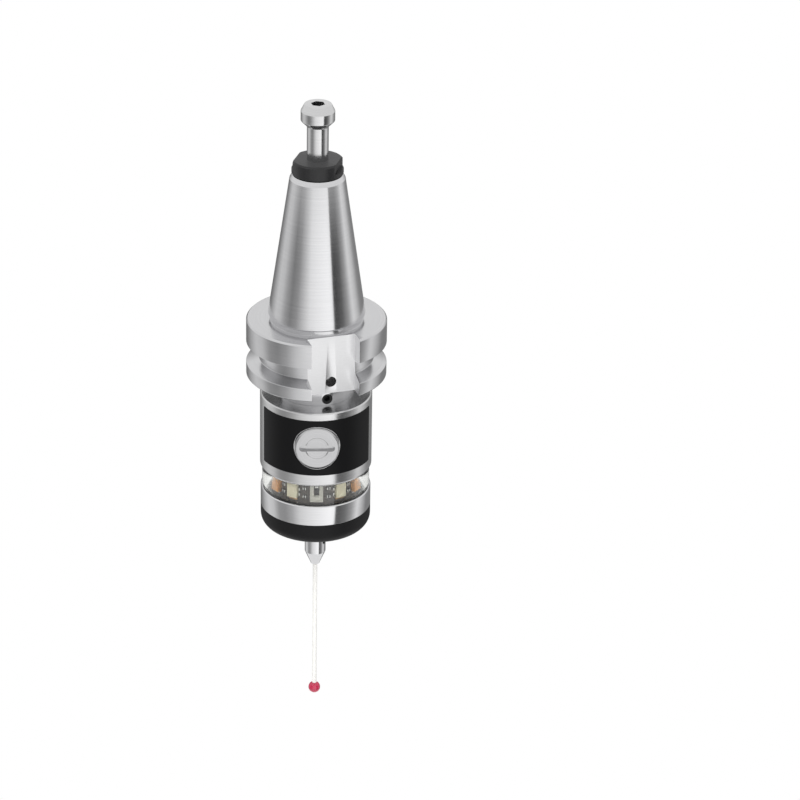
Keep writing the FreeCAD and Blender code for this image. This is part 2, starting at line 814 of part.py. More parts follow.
def battery_cap():
    """Round screw cap lying along the front: head, seal groove and threaded stem, with a coin
    slot. It is turned about its own axis and then tipped to face forwards."""
    head = dim("cap_head")
    stem_length = dim("cap_thread_length")
    outer = dim("cap_dia") / 2
    stem = dim("cap_thread_dia") / 2
    edge = dim("cap_edge")
    cord = dim("cap_seal_cord")
    groove = stem - cord
    groove_top = stem_length - dim("cap_seal_land")
    top = stem_length + head
    corners = [
        (ZERO, ZERO),
        (stem, ZERO),
        (stem, groove_top - cord - dim("seal_room")),
        (groove, groove_top - cord - dim("seal_room")),
        (groove, groove_top),
        (stem, groove_top),
        (stem, stem_length),
        (outer, stem_length),
        (outer, top - edge),
        (outer - edge, top),
        (ZERO, top),
    ]
    body = turned_body("battery_cap", corners, ZERO)
    slot = new_sketch(body, "coin_slot", "XY_Plane", top)
    draw_stadium(slot, dim("cap_slot_length"), dim("cap_slot_width"))
    cut_pocket(body, slot, dim("cap_slot_depth"))
    return lay_along_front(body, CAP_SEAT - stem_length, dim("probe_turn"))


def lay_along_front(piece, inner, turn):
    """Stand a piece that was drawn along Z on the battery axis, with its Z pointing out through
    the front, its X level and its foot at the inner distance from the tool's axis."""
    level = BATTERY_AXIS
    across = inner * cosine(turn)
    side = inner * sine(turn)
    spun = "rotation(vector(0; 0; 1); 90)"
    tipped = "rotation(vector(0; 1; 0); 90)"
    turned = f"rotation(vector(0; 0; 1); {turn.text}) * {tipped} * {spun}"
    rotation = FreeCAD.Rotation(V(0, 0, 1), turn.value)
    rotation = rotation * FreeCAD.Rotation(V(0, 1, 0), 90) * FreeCAD.Rotation(V(0, 0, 1), 90)
    piece.Placement = FreeCAD.Placement(V(across.value, side.value, level.value), rotation)
    moved = f"vector({across.text}; {side.text}; {level.text})"
    piece.setExpression("Placement", f"placement({moved}; {turned})")
    return piece


def seal_ring(name, mean_radius, cord):
    """An O-ring about the Z axis, squeezed to an eight-sided section, its middle at zero."""
    half = cord / 2
    flat = half * EIGHTH_TURN
    corners = [
        (mean_radius - flat, -half),
        (mean_radius + flat, -half),
        (mean_radius + half, -flat),
        (mean_radius + half, flat),
        (mean_radius + flat, half),
        (mean_radius - flat, half),
        (mean_radius - half, flat),
        (mean_radius - half, -flat),
    ]
    return turned_body(name, corners, ZERO)


def battery_cap_seal():
    """O-ring in the groove under the cap's head."""
    cord = dim("cap_seal_cord")
    ring = seal_ring("battery_cap_seal", dim("cap_thread_dia") / 2 - cord / 2, cord)
    middle = CAP_SEAT - dim("cap_seal_land") - dim("seal_room") / 2 - cord / 2
    return lay_along_front(ring, middle, dim("probe_turn"))


def battery_cells():
    """Two lithium cells in a line behind the cap, each with a raised button."""
    nub = dim("cell_nub_height")
    can = CELL_LENGTH - nub
    cells = []
    for index in range(CELLS):
        name = f"battery_cell_{index + 1}"
        case = solid("Part::Cylinder", f"{name}_can", {"Radius": dim("cell_dia") / 2, "Height": can})
        button = solid("Part::Cylinder", f"{name}_button", {
            "Radius": dim("cell_nub_dia") / 2, "Height": nub})
        inner = CAP_STEM_END - CELL_LENGTH * (index + 1)
        lay_along_front(case, inner, dim("probe_turn"))
        lay_along_front(button, inner + can, dim("probe_turn"))
        cell = doc.addObject("Part::Fuse", name)
        cell.Base = case
        cell.Tool = button
        cells.append(cell)
    return group("battery_cells", cells)


def coil(name, height, mean_radius, wire, turns):
    """A coil spring of round wire with its axis on Z, from its foot at zero. The wire follows
    short mitred runs between points of a helix, and its ends stop half a wire inside the
    height, so that it seats between two faces."""
    rise = height - wire
    runs = round(turns * RUNS_PER_TURN)
    points = []
    for step in range(runs + 1):
        share = step / runs
        angle = 2 * math.pi * turns * share
        level = wire / 2 + rise * share
        points.append(V(mean_radius * math.cos(angle), mean_radius * math.sin(angle), level))
    section = Part.Wire([Part.Circle(points[0], points[1] - points[0], wire / 2).toShape()])
    piece = doc.addObject("Part::Feature", name)
    piece.Shape = Part.makePolygon(points).makePipeShell([section], True, False, MITRED)
    return piece


def battery_spring():
    """Contact spring between the last cell and the back of the carrier's bore."""
    length = dim("battery_spring_length").value
    piece = coil("battery_spring", length, dim("cell_nub_dia").value / 2,
                 dim("battery_wire").value, dim("battery_spring_turns").value)
    return lay_along_front(piece, -CARRIER_BACK, dim("probe_turn"))


def battery_carrier():
    """Moulded block that fills the housing, with the blind battery bore, widened at its mouth
    for the cap's stem, and two screw holes."""
    radius = CARRIER_RADIUS
    height = CAVITY_TOP - BOARD_TOP
    edge = dim("carrier_edge")
    corners = [
        (ZERO, ZERO),
        (radius - edge, ZERO),
        (radius, edge),
        (radius, height - edge),
        (radius - edge, height),
        (ZERO, height),
    ]
    body = turned_body("battery_carrier", corners, BOARD_TOP, turn=dim("probe_turn"))
    bore = new_sketch(body, "battery_bore", "YZ_Plane", -CARRIER_BACK)
    draw_circle(bore, ZERO, BATTERY_AXIS - BOARD_TOP, CARRIER_BORE)
    cut_pocket(body, bore, radius * 2, reverse=True)
    mouth = new_sketch(body, "cap_stem_mouth", "YZ_Plane", CAP_STEM_END)
    draw_circle(mouth, ZERO, BATTERY_AXIS - BOARD_TOP, dim("cap_thread_dia") / 2 + dim("running_gap"))
    cut_pocket(body, mouth, dim("cap_thread_length"), reverse=True)
    holes = new_sketch(body, "carrier_screw_bore", "XY_Plane")
    hole = dim("carrier_screw_dia") / 2 + dim("running_gap")
    for side in (-1.0, 1.0):
        draw_circle(holes, ZERO, dim("carrier_screw_spacing") / 2 * side, hole)
    cut_pocket(body, holes, height, reverse=True)
    return body


def carrier_screws():
    """Two long screws up through board and carrier into the housing's top wall."""
    reach = CAVITY_TOP - BOARD_BOTTOM + dim("carrier_screw_bite")
    head = dim("carrier_screw_head")
    screws = []
    for index, side in enumerate((90.0, -90.0), start=1):
        shank = solid("Part::Cylinder", f"carrier_screw_{index}_shank", {
            "Radius": dim("carrier_screw_dia") / 2, "Height": reach})
        cap = solid("Part::Cylinder", f"carrier_screw_{index}_head", {
            "Radius": dim("carrier_screw_head_dia") / 2, "Height": head})
        angle = dim("probe_turn") + side
        put_round(shank, dim("carrier_screw_spacing") / 2, angle, BOARD_BOTTOM)
        put_round(cap, dim("carrier_screw_spacing") / 2, angle, BOARD_BOTTOM - head)
        screw = doc.addObject("Part::Fuse", f"carrier_screw_{index}")
        screw.Base = shank
        screw.Tool = cap
        screws.append(screw)
    return group("carrier_screws", screws)


def main_board():
    """Round board held between the carrier and the two screw heads."""
    radius = HOUSING_BORE - dim("board_play")
    corners = [
        (ZERO, ZERO),
        (radius, ZERO),
        (radius, dim("board_thickness")),
        (ZERO, dim("board_thickness")),
    ]
    body = turned_body("main_board", corners, BOARD_BOTTOM, turn=dim("probe_turn"))
    holes = new_sketch(body, "board_hole", "XY_Plane")
    hole = dim("carrier_screw_dia") / 2 + dim("running_gap")
    for side in (-1.0, 1.0):
        draw_circle(holes, ZERO, dim("carrier_screw_spacing") / 2 * side, hole)
    cut_pocket(body, holes, dim("board_thickness"), reverse=True)
    return body


def board_chips():
    """Two chips on the underside of the main board, one at the front and one behind."""
    chips = []
    for index, angle in enumerate((0.0, 180.0), start=1):
        chip = solid("Part::Box", f"board_chip_{index}", {
            "Length": dim("chip_height"),
            "Width": dim("chip_width"),
            "Height": dim("tall_part"),
        })
        inner = dim("board_chip_radius") - dim("chip_height") / 2
        place_block(chip, inner, dim("probe_turn") + angle, BOARD_BOTTOM - dim("tall_part"),
                    dim("chip_width"))
        chips.append(chip)
    return group("board_chips", chips)


# ---------------------------------------------------------------- window and sensor ring

def window_ring():
    """Clear ring clamped between the housing's foot and the clamp ring."""
    height = dim("window_height")
    corners = [
        (WINDOW_BORE, ZERO),
        (WINDOW_RADIUS, ZERO),
        (WINDOW_RADIUS, height),
        (WINDOW_BORE, height),
    ]
    return turned_body("window_ring", corners, WINDOW_BOTTOM)


def window_seals():
    """O-rings in the grooves above and below the clear ring."""
    cord = dim("seal_cord")
    levels = {"upper": HOUSING_BOTTOM + cord / 2, "lower": WINDOW_BOTTOM - cord / 2}
    rings = []
    for name, level in levels.items():
        ring = seal_ring(f"{name}_window_seal", SEAL_RADIUS, cord)
        rings.append(put(ring, ZERO, ZERO, level, ZERO))
    return group("window_seals", rings)


def place_block(block, inner, angle, low, width):
    """Stand a block round the axis with its inner face at a radius and its width centred on
    the angle."""
    half = width / 2
    across = inner * cosine(angle) + half * sine(angle)
    side = inner * sine(angle) - half * cosine(angle)
    return put(block, across, side, low, angle)


def ring_block(name, angle, width, height, depth, middle):
    """A component on the wrapped board, centred on an angle from the front and on a level."""
    block = solid("Part::Box", name, {"Length": depth, "Width": width, "Height": height})
    return place_block(block, BOARD_FACE, dim("probe_turn") + angle, middle - height / 2, width)


SENSOR_LEVEL = (HOUSING_BOTTOM + WINDOW_BOTTOM) / 2


def ring_group(name, angles, width, height, depth):
    """One kind of component, repeated on the front and the back half of the board."""
    pieces = []
    for start in (0.0, 180.0):
        for angle in angles:
            label = f"{name}_{len(pieces) + 1}"
            pieces.append(ring_block(label, angle + start, width, height, depth, SENSOR_LEVEL))
    return group(name, pieces)


def sensor_board():
    """Flexible board wrapped round the barrel's waist."""
    inner = dim("barrel_waist_dia") / 2
    height = WAIST_TOP - WAIST_BOTTOM
    corners = [(inner, ZERO), (BOARD_FACE, ZERO), (BOARD_FACE, height), (inner, height)]
    return turned_body("sensor_board", corners, WAIST_BOTTOM)


def status_lamps():
    """Pale lamp packages with a square notch in the face, one at the front and one behind."""
    notch = dim("lamp_notch")
    depth = dim("tall_part")
    pieces = []
    for index, start in enumerate((0.0, 180.0), start=1):
        angle = as_size(start)
        package = ring_block(f"status_lamp_{index}_package", angle, dim("lamp_width"),
                             dim("part_height"), depth, SENSOR_LEVEL)
        recess = solid("Part::Box", f"status_lamp_{index}_recess", {
            "Length": depth, "Width": notch, "Height": notch})
        inner = BOARD_FACE + depth / 2
        place_block(recess, inner, dim("probe_turn") + angle, SENSOR_LEVEL - notch / 2, notch)
        pieces.append(cut_away(f"status_lamp_{index}", package, recess))
    return group("status_lamps", pieces)


def signal_receivers():
    angle = dim("receiver_angle")
    return ring_group("signal_receivers", (angle, -angle), dim("receiver_width"),
                      dim("part_height"), dim("tall_part"))


def infrared_emitters():
    angle = dim("emitter_angle")
    return ring_group("infrared_emitters", (angle, -angle), dim("emitter_width"),
                      dim("emitter_height"), dim("tall_part"))


def driver_chips():
    angle = dim("chip_angle")
    return ring_group("driver_chips", (angle, -angle), dim("chip_width"),
                      dim("chip_height"), dim("tall_part"))


def board_passives():
    """Small parts midway between the larger ones."""
    near = dim("receiver_angle") / 2
    far = (dim("receiver_angle") + dim("emitter_angle")) / 2
    return ring_group("board_passives", (near, -near, far, -far), dim("passive_width"),
                      dim("passive_height"), dim("flat_part"))


# ---------------------------------------------------------------- clamp ring, barrel, cover

def clamp_ring():
    """Steel ring that the barrel's flange pulls up against the clear ring."""
    height = dim("ring_height")
    edge = dim("ring_edge")
    seal_edge = SEAL_RADIUS + dim("seal_cord") / 2 + dim("seal_room")
    corners = [
        (RING_RECESS, ZERO),
        (RING_RADIUS, ZERO),
        (RING_RADIUS, height - edge),
        (RING_RADIUS - edge, height),
        (seal_edge, height),
        (seal_edge, height - dim("seal_cord")),
        (RING_BORE, height - dim("seal_cord")),
        (RING_BORE, dim("barrel_flange_height")),
        (RING_RECESS, dim("barrel_flange_height")),
    ]
    return turned_body("clamp_ring", corners, RING_BOTTOM)


def mechanism_barrel():
    """One turned spool: a spigot for the cover, the flange under the clamp ring, the waist that
    carries the wrapped board and a threaded collar up in the housing. Its bore holds the seat
    ring, the spider and the spring."""
    base = BARREL_BOTTOM
    gap = dim("running_gap")
    spigot = COVER_BORE - gap
    flange = RING_RECESS - gap * 2
    land = RING_BORE - gap
    waist = dim("barrel_waist_dia") / 2
    collar = HOUSING_BORE - gap
    flange_low = RING_BOTTOM - base
    flange_high = flange_low + dim("barrel_flange_height")
    corners = [
        (LEDGE_BORE, ZERO),
        (spigot, ZERO),
        (spigot, flange_low),
        (flange, flange_low),
        (flange, flange_high),
        (land, flange_high),
        (land, WAIST_BOTTOM - base - dim("barrel_land_slope")),
        (waist, WAIST_BOTTOM - base),
        (waist, WAIST_TOP - base),
        (collar, WAIST_TOP - base),
        (collar, BARREL_TOP - base),
        (BARREL_BORE, BARREL_TOP - base),
        (BARREL_BORE, SEAT_BOTTOM - base),
        (LEDGE_BORE, SEAT_BOTTOM - base),
    ]
    return turned_body("mechanism_barrel", corners, base)


def front_cover():
    """Screw-on cover with a well rounded lower edge, a central opening for the stylus holder
    and two pin-spanner holes."""
    opening = dim("cover_opening") / 2
    edge = dim("cover_opening_edge")
    floor = dim("cover_floor")
    height = dim("cover_height")
    corners = [
        (opening + edge, ZERO),
        (RING_RADIUS, ZERO),
        (RING_RADIUS, height),
        (COVER_BORE, height),
        (COVER_BORE, floor),
        (opening, floor),
        (opening, edge),
    ]
    body = turned_body("front_cover", corners, COVER_BOTTOM, turn=dim("probe_turn"))
    round_edges(body, dim("cover_round"), RING_RADIUS, ZERO)
    keys = new_sketch(body, "cover_key_hole", "XY_Plane")
    for side in (-1.0, 1.0):
        draw_circle(keys, ZERO, dim("cover_key_spacing") / 2 * side, dim("cover_key_hole") / 2)
    cut_pocket(body, keys, dim("cover_key_depth"), reverse=True)
    return body


def seal_diaphragm():
    """Rubber seal: a flat rim clamped between barrel and cover floor, a thin dished skin and a
    lip round the stylus holder."""
    rim = DIAPHRAGM_RIM
    rim_bore = rim - dim("diaphragm_rim_width")
    thickness = BARREL_BOTTOM - (COVER_BOTTOM + dim("cover_floor"))
    skin = dim("diaphragm_skin")
    holder = dim("holder_dia") / 2 + dim("glue_gap")
    lip = holder + dim("diaphragm_lip_wall")
    rise = dim("diaphragm_lip_rise")
    lip_height = dim("diaphragm_lip_height")
    corners = [
        (holder, rise),
        (lip, rise),
        (rim_bore, ZERO),
        (rim, ZERO),
        (rim, thickness),
        (rim_bore, thickness),
        (rim_bore, skin),
        (lip, rise + skin),
        (lip, rise + lip_height),
        (holder, rise + lip_height),
    ]
    return turned_body("seal_diaphragm", corners, COVER_BOTTOM + dim("cover_floor"))


# ---------------------------------------------------------------- trigger mechanism

def arm_angle(index):
    """Three arms, the first towards the front."""
    return dim("probe_turn") + 360.0 * index / ARMS


def ball_places():
    """Two balls straddle each arm, side by side across it at the seat radius."""
    places = []
    for index in range(ARMS):
        angle = arm_angle(index)
        for side in (-1.0, 1.0):
            spread = dim("seat_ball_spread") * side
            across = SEAT_RADIUS * cosine(angle) - spread * sine(angle)
            along = SEAT_RADIUS * sine(angle) + spread * cosine(angle)
            places.append((across, along))
    return places


def seat_balls():
    balls = []
    for index, (across, side) in enumerate(ball_places(), start=1):
        ball = solid("Part::Sphere", f"seat_ball_{index}", {"Radius": dim("seat_ball_dia") / 2})
        balls.append(put(ball, across, side, SEAT_BALLS, ZERO))
    return group("seat_balls", balls)


def seat_ring():
    """Insulating ring on the barrel's ledge with a round seat for each ball."""
    outer = BARREL_BORE - dim("running_gap")
    height = dim("seat_ring_height")
    blank = solid("Part::Cylinder", "seat_ring_blank", {"Radius": outer, "Height": height})
    put(blank, ZERO, ZERO, SEAT_BOTTOM, ZERO)
    bore = solid("Part::Cylinder", "seat_ring_hole", {
        "Radius": SEAT_RADIUS - dim("seat_ring_inset"), "Height": height * 2})
    put(bore, ZERO, ZERO, SEAT_BOTTOM - height / 2, ZERO)
    tools = [bore]
    for index, (across, side) in enumerate(ball_places(), start=1):
        seat = solid("Part::Sphere", f"seat_ring_pocket_{index}", {
            "Radius": dim("seat_ball_dia") / 2 + dim("glue_gap")})
        tools.append(put(seat, across, side, SEAT_BALLS, ZERO))
    cutter = doc.addObject("Part::MultiFuse", "seat_ring_cutter")
    cutter.Shapes = tools
    return cut_away("seat_ring", blank, cutter)


def spider_hub():
    """Hub of the spider: three radial holes for the rods, a bore for the stylus holder's stud
    and a boss that centres the spring."""
    radius = dim("hub_dia") / 2
    bore = dim("hub_bore") / 2
    boss = (dim("spring_dia") - dim("spring_wire")) / 2 - dim("hub_boss_room")
    height = dim("hub_height")
    top = height + dim("hub_boss_height")
    corners = [
        (bore, ZERO),
        (radius, ZERO),
        (radius, height),
        (boss, height),
        (boss, top),
        (bore, top),
    ]
    body = turned_body("spider_hub", corners, HUB_BOTTOM, turn=dim("probe_turn"))
    hole = new_sketch(body, "arm_hole", "YZ_Plane", dim("rod_root") - dim("glue_gap"))
    draw_circle(hole, ZERO, dim("hub_below_rods"), dim("rod_dia") / 2 + dim("glue_gap"))
    hole_cut = cut_pocket(body, hole, dim("hub_dia"), reverse=True)
    repeat_round(body, hole_cut, ARMS)
    return body


def spider_rods():
    """Three hard rods pressed into the hub, each lying on one pair of balls."""
    length = SEAT_RADIUS + dim("rod_overhang") - dim("rod_root")
    rods = []
    for index in range(ARMS):
        rod = solid("Part::Cylinder", f"spider_rod_{index + 1}", {
            "Radius": dim("rod_dia") / 2, "Height": length})
        put_round(rod, dim("rod_root"), arm_angle(index), ROD_LEVEL, as_size(90.0))
        rods.append(rod)
    return group("spider_rods", rods)


def spring_adjuster():
    """Threaded disc in the top of the barrel's bore, recessed below for the spring and slotted
    above for a driver."""
    radius = BARREL_BORE - dim("running_gap")
    bore = dim("adjuster_bore") / 2
    recess = (dim("spring_dia") + dim("spring_wire")) / 2 + dim("adjuster_recess_room")
    height = dim("adjuster_height")
    corners = [
        (bore, dim("adjuster_recess")),
        (recess, dim("adjuster_recess")),
        (recess, ZERO),
        (radius, ZERO),
        (radius, height),
        (bore, height),
    ]
    body = turned_body("spring_adjuster", corners, ADJUSTER_BOTTOM, turn=dim("probe_turn"))
    slot = new_sketch(body, "driver_slot", "XY_Plane", height)
    half = dim("adjuster_slot") / 2
    reach = radius + half
    draw_box(slot, -reach, reach, -half, half)
    cut_pocket(body, slot, dim("adjuster_recess"))
    return body


def preload_spring():
    """Coil spring that presses the spider down on its seats."""
    height = SPRING_TOP - HUB_TOP
    piece = coil("preload_spring", height.value, dim("spring_dia").value / 2,
                 dim("spring_wire").value, dim("spring_turns").value)
    return put(piece, ZERO, ZERO, HUB_TOP, dim("probe_turn"))


# ---------------------------------------------------------------- stylus

def stylus_holder():
    """Stem from the spider to the stylus: a stud up through the hub, a body out through the
    cover and a tapped hole in its foot."""
    base = STYLUS_SEAT
    radius = dim("holder_dia") / 2
    stud = dim("hub_bore") / 2 - dim("glue_gap")
    thread = dim("stylus_thread_dia") / 2 + dim("glue_gap")
    shoulder = HUB_BOTTOM - base
    top = HUB_TOP + dim("hub_boss_height") - base
    hole_top = dim("stylus_thread_length") + dim("stylus_thread_room")
    corners = [
        (thread, ZERO),
        (radius, ZERO),
        (radius, shoulder),
        (stud, shoulder),
        (stud, top),
        (ZERO, top),
        (ZERO, hole_top + thread / 2),
        (thread, hole_top),
    ]
    return turned_body("stylus_holder", corners, base)


def stylus_body():
    """Turned root of the stylus: threaded stud, round body with a cross hole for tightening,
    and a cone down to the ceramic stem."""
    base = CONE_BOTTOM
    radius = dim("stylus_root_dia") / 2
    tip = dim("stylus_cone_dia") / 2
    thread = dim("stylus_thread_dia") / 2
    socket = dim("stem_rod_dia") / 2 + dim("glue_gap")
    hold = dim("stem_rod_hold")
    cone_top = dim("stylus_cone_length")
    seat = STYLUS_SEAT - base
    corners = [
        (socket, ZERO),
        (tip, ZERO),
        (radius, cone_top),
        (radius, seat),
        (thread, seat),
        (thread, seat + dim("stylus_thread_length")),
        (ZERO, seat + dim("stylus_thread_length")),
        (ZERO, hold),
        (socket, hold),
    ]
    body = turned_body("stylus_body", corners, base, turn=dim("cross_hole_turn"))
    cross = new_sketch(body, "cross_hole", "YZ_Plane")
    draw_circle(cross, ZERO, cone_top + dim("cross_hole_rise"), dim("cross_hole_dia") / 2)
    cut_pocket(body, cross, both=True)
    return body


def stylus_stem():
    """Straight ceramic rod, glued into the stylus body above and the ball below."""
    sunk = dim("ball_dia") / 2 - dim("ball_hole_depth") + dim("glue_gap")
    length = dim("stem_rod_length") + dim("stem_rod_hold") - dim("glue_gap") - sunk
    rod = solid("Part::Cylinder", "stylus_stem", {"Radius": dim("stem_rod_dia") / 2, "Height": length})
    return put(rod, ZERO, ZERO, BALL_CENTRE + sunk, ZERO)


def stylus_ball():
    """Ruby ball with a blind hole for the stem."""
    ball = solid("Part::Sphere", "ruby_blank", {"Radius": dim("ball_dia") / 2})
    put(ball, ZERO, ZERO, BALL_CENTRE, ZERO)
    hole = solid("Part::Cylinder", "ruby_hole", {
        "Radius": dim("stem_rod_dia") / 2 + dim("glue_gap"), "Height": dim("ball_dia")})
    depth = dim("ball_dia") / 2 - dim("ball_hole_depth")
    put(hole, ZERO, ZERO, BALL_CENTRE + depth, ZERO)
    return cut_away("stylus_ball", ball, hole)


# ---------------------------------------------------------------- build, check, write

def build():
    return [
        taper_shank(),
        pull_stud(),
        clamp_screws(),
        centring_screws(),
        probe_housing(),
        cut_label_hole(label_band()),
        battery_cap(),
        battery_cap_seal(),
        battery_cells(),
        battery_spring(),
        battery_carrier(),
        carrier_screws(),
        main_board(),
        board_chips(),
        window_ring(),
        window_seals(),
        sensor_board(),
        status_lamps(),
        signal_receivers(),
        infrared_emitters(),
        driver_chips(),
        board_passives(),
        clamp_ring(),
        mechanism_barrel(),
        front_cover(),
        seal_diaphragm(),
        seat_ring(),
        seat_balls(),
        spider_hub(),
        spider_rods(),
        spring_adjuster(),
        preload_spring(),
        stylus_holder(),
        stylus_body(),
        stylus_stem(),
        stylus_ball(),
    ]


def check(pieces):
    """Nothing is written unless every object recomputed and every solid is sound."""
    for thing in doc.Objects:
        if "Invalid" in thing.State or "Error" in thing.State:
            raise RuntimeError(f"{thing.Name} failed: {thing.State}")
    for piece in pieces:
        shape = piece.Shape
        if shape.isNull() or not shape.isValid() or not shape.Solids:
            raise RuntimeError(f"{piece.Label} has no sound shape")


def write(pieces):
    os.makedirs("parts", exist_ok=True)
    for piece in pieces:
        piece.Shape.exportStep(f"parts/{piece.Label}.step")
        print(f"{piece.Label}: {len(piece.Shape.Solids)} solids, {piece.Shape.Volume:.1f} mm3")


nodes = build()
doc.recompute()
check(nodes)
write(nodes)
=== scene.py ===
# %% [markdown]
# # An electronic edge finder on a steep-taper holder
#
# A machinist puts this tool in the spindle to find where a workpiece is. From the top down it
# has a pull stud, a ground taper, a flange with two drive slots, a battery-powered probe body
# with a clear window, and a ruby ball on a thin stem. Almost every piece is turned on a
# lathe, so almost every piece here is a profile carried round one axis.
#
# The lesson starts with the frame: the CAD model, whose pieces say where everything sits.

# %% Load the frame
import math

import bmesh
import bpy
import numpy as np
from mathutils import Matrix, Vector


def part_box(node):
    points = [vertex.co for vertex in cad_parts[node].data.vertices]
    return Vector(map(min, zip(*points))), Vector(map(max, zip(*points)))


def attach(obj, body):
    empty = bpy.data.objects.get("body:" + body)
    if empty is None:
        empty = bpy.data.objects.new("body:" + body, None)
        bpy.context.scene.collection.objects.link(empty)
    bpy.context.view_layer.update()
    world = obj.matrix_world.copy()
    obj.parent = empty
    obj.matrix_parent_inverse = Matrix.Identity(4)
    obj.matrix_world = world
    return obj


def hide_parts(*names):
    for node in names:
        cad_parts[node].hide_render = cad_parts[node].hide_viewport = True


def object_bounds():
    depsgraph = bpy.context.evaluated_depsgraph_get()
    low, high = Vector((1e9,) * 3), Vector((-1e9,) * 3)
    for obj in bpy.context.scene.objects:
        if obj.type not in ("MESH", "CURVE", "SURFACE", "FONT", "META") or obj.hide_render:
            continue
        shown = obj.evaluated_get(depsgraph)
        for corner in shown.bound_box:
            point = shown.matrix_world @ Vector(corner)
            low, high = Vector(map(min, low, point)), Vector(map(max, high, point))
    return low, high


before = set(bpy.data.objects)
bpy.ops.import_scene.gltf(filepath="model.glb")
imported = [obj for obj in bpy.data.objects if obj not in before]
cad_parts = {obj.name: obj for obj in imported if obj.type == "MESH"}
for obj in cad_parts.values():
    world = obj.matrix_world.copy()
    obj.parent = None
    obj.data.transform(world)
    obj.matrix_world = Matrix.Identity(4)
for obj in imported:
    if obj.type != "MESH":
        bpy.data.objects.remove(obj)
cad_low, cad_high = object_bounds()
scene = bpy.context.scene
scene.view_settings.view_transform = "Standard"
MM = 0.001
print("frame:", len(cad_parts), "nodes, from", tuple(cad_low), "to", tuple(cad_high))


# %% [markdown]
# ## Reading sizes from the frame
#
# Sizes are not typed in twice. The box of a CAD node gives its levels and where it lies round
# the axis, and the mesh of a node gives its widest distance from the axis.

# %% Levels and radii
def low(node):
    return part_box(node)[0].z


def high(node):
    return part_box(node)[1].z


def points_of(node):
    """A node's vertices as an array, one row each."""
    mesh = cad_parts[node].data
    flat = np.zeros(len(mesh.vertices) * 3, np.float32)
    mesh.vertices.foreach_get("co", flat)
    return flat.reshape(-1, 3).astype(float)


def widest(node):
    """The largest distance of a node's vertices from the tool's axis."""
    at = points_of(node)
    return float(np.hypot(at[:, 0], at[:, 1]).max())


def facing(node):
    """The direction in which a node lies from the axis, as an angle round Z in radians."""
    bottom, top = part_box(node)
    middle = (bottom + top) / 2
    return math.atan2(middle.y, middle.x)


FRONT = facing("battery_cap")
SLOT_SIDES = (math.radians(90.0), math.radians(-90.0))
print("the battery cap faces", round(math.degrees(FRONT), 1), "degrees")


# %% [markdown]
# ## Turned shapes
#
# A turned part is a surface of two parameters: how far along the profile, and how far round.
# The profile is a short list of corners. Real edges are never sharp, so each corner is first
# rounded with a small arc, which is what catches a thin highlight on a metal part.

# %% Profiles and turned meshes
ROUND = 240          # steps round a large turned part
ARC_STEPS = 4        # steps along the arc that rounds a corner


def softened(corners, radius):
    """Each corner is cut back along both of its sides by the same length and an arc joins the
    cuts: points of the quadratic curve from one cut, towards the corner, to the other. A
    corner on the axis, or one whose sides are short, is cut back less."""
    at = np.array(corners, float)
    count = len(at)
    made = []
    for index in range(count):
        here = at[index]
        before = at[index - 1] - here
        after = at[(index + 1) % count] - here
        lengths = np.hypot(*before), np.hypot(*after)
        if here[0] < 1e-9 or min(lengths) < 1e-9:
            made.append(here[None])
            continue
        back = min(radius, 0.45 * min(lengths))
        start = here + before / lengths[0] * back
        end = here + after / lengths[1] * back
        share = np.linspace(0.0, 1.0, ARC_STEPS + 1)[:, None]
        made.append(start * (1 - share) ** 2 + 2 * here * share * (1 - share) + end * share ** 2)
    return np.concatenate(made)


def new_object(name, vertices, faces, smooth=35.0):
    """A mesh object at the origin. Edges that turn by more than the smooth angle stay sharp."""
    mesh = bpy.data.meshes.new(name)
    mesh.from_pydata(vertices, [], faces)
    mesh.validate()
    piece = bpy.data.objects.new(name, mesh)
    scene.collection.objects.link(piece)
    outwards(mesh)
    shade(mesh, smooth)
    return piece


def outwards(mesh):
    """Merge points that coincide, and turn every face to point out of its closed shell."""
    work = bmesh.new()
    work.from_mesh(mesh)
    bmesh.ops.remove_doubles(work, verts=work.verts, dist=1e-7)
    bmesh.ops.dissolve_degenerate(work, edges=work.edges, dist=1e-8)
    bmesh.ops.recalc_face_normals(work, faces=work.faces)
    work.to_mesh(mesh)
    work.free()


def shade(mesh, smooth):
    mesh.polygons.foreach_set("use_smooth", np.ones(len(mesh.polygons), bool))
    mesh.set_sharp_from_angle(angle=math.radians(smooth))


def ring_faces(rows, columns, wrap_rows=True):
    """Quads of a grid whose columns join up, and whose rows do too where wrap_rows says so."""
    row, column = np.meshgrid(np.arange(rows if wrap_rows else rows - 1), np.arange(columns),
                              indexing="ij")
    after = (row + 1) % rows
    beside = (column + 1) % columns
    quads = np.stack([row * columns + column, row * columns + beside,
                      after * columns + beside, after * columns + column], axis=-1)
    return quads.reshape(-1, 4).tolist()


def turned(name, corners, radius=0.15 * MM, steps=ROUND, smooth=35.0):
    """The closed profile (r, z) carried round Z: each point goes to
    (r cos a, r sin a, z) for every angle a of a full turn."""
    profile = softened(corners, radius)
    angle = np.linspace(0.0, 2 * math.pi, steps, endpoint=False)
    r = profile[:, 0][:, None]
    grid = np.stack([r * np.cos(angle), r * np.sin(angle),
                     np.repeat(profile[:, 1][:, None], steps, axis=1)], axis=-1)
    return new_object(name, grid.reshape(-1, 3).tolist(),
                      ring_faces(len(profile), steps), smooth)


# %% [markdown]
# ## Cutting slots and holes
#
# A slot, a socket or a cross hole is cut as it is in the workshop: the shape of the cutter is
# made and taken away. The Boolean modifier does this, its result is kept as the mesh, and the
# cutter is thrown away.

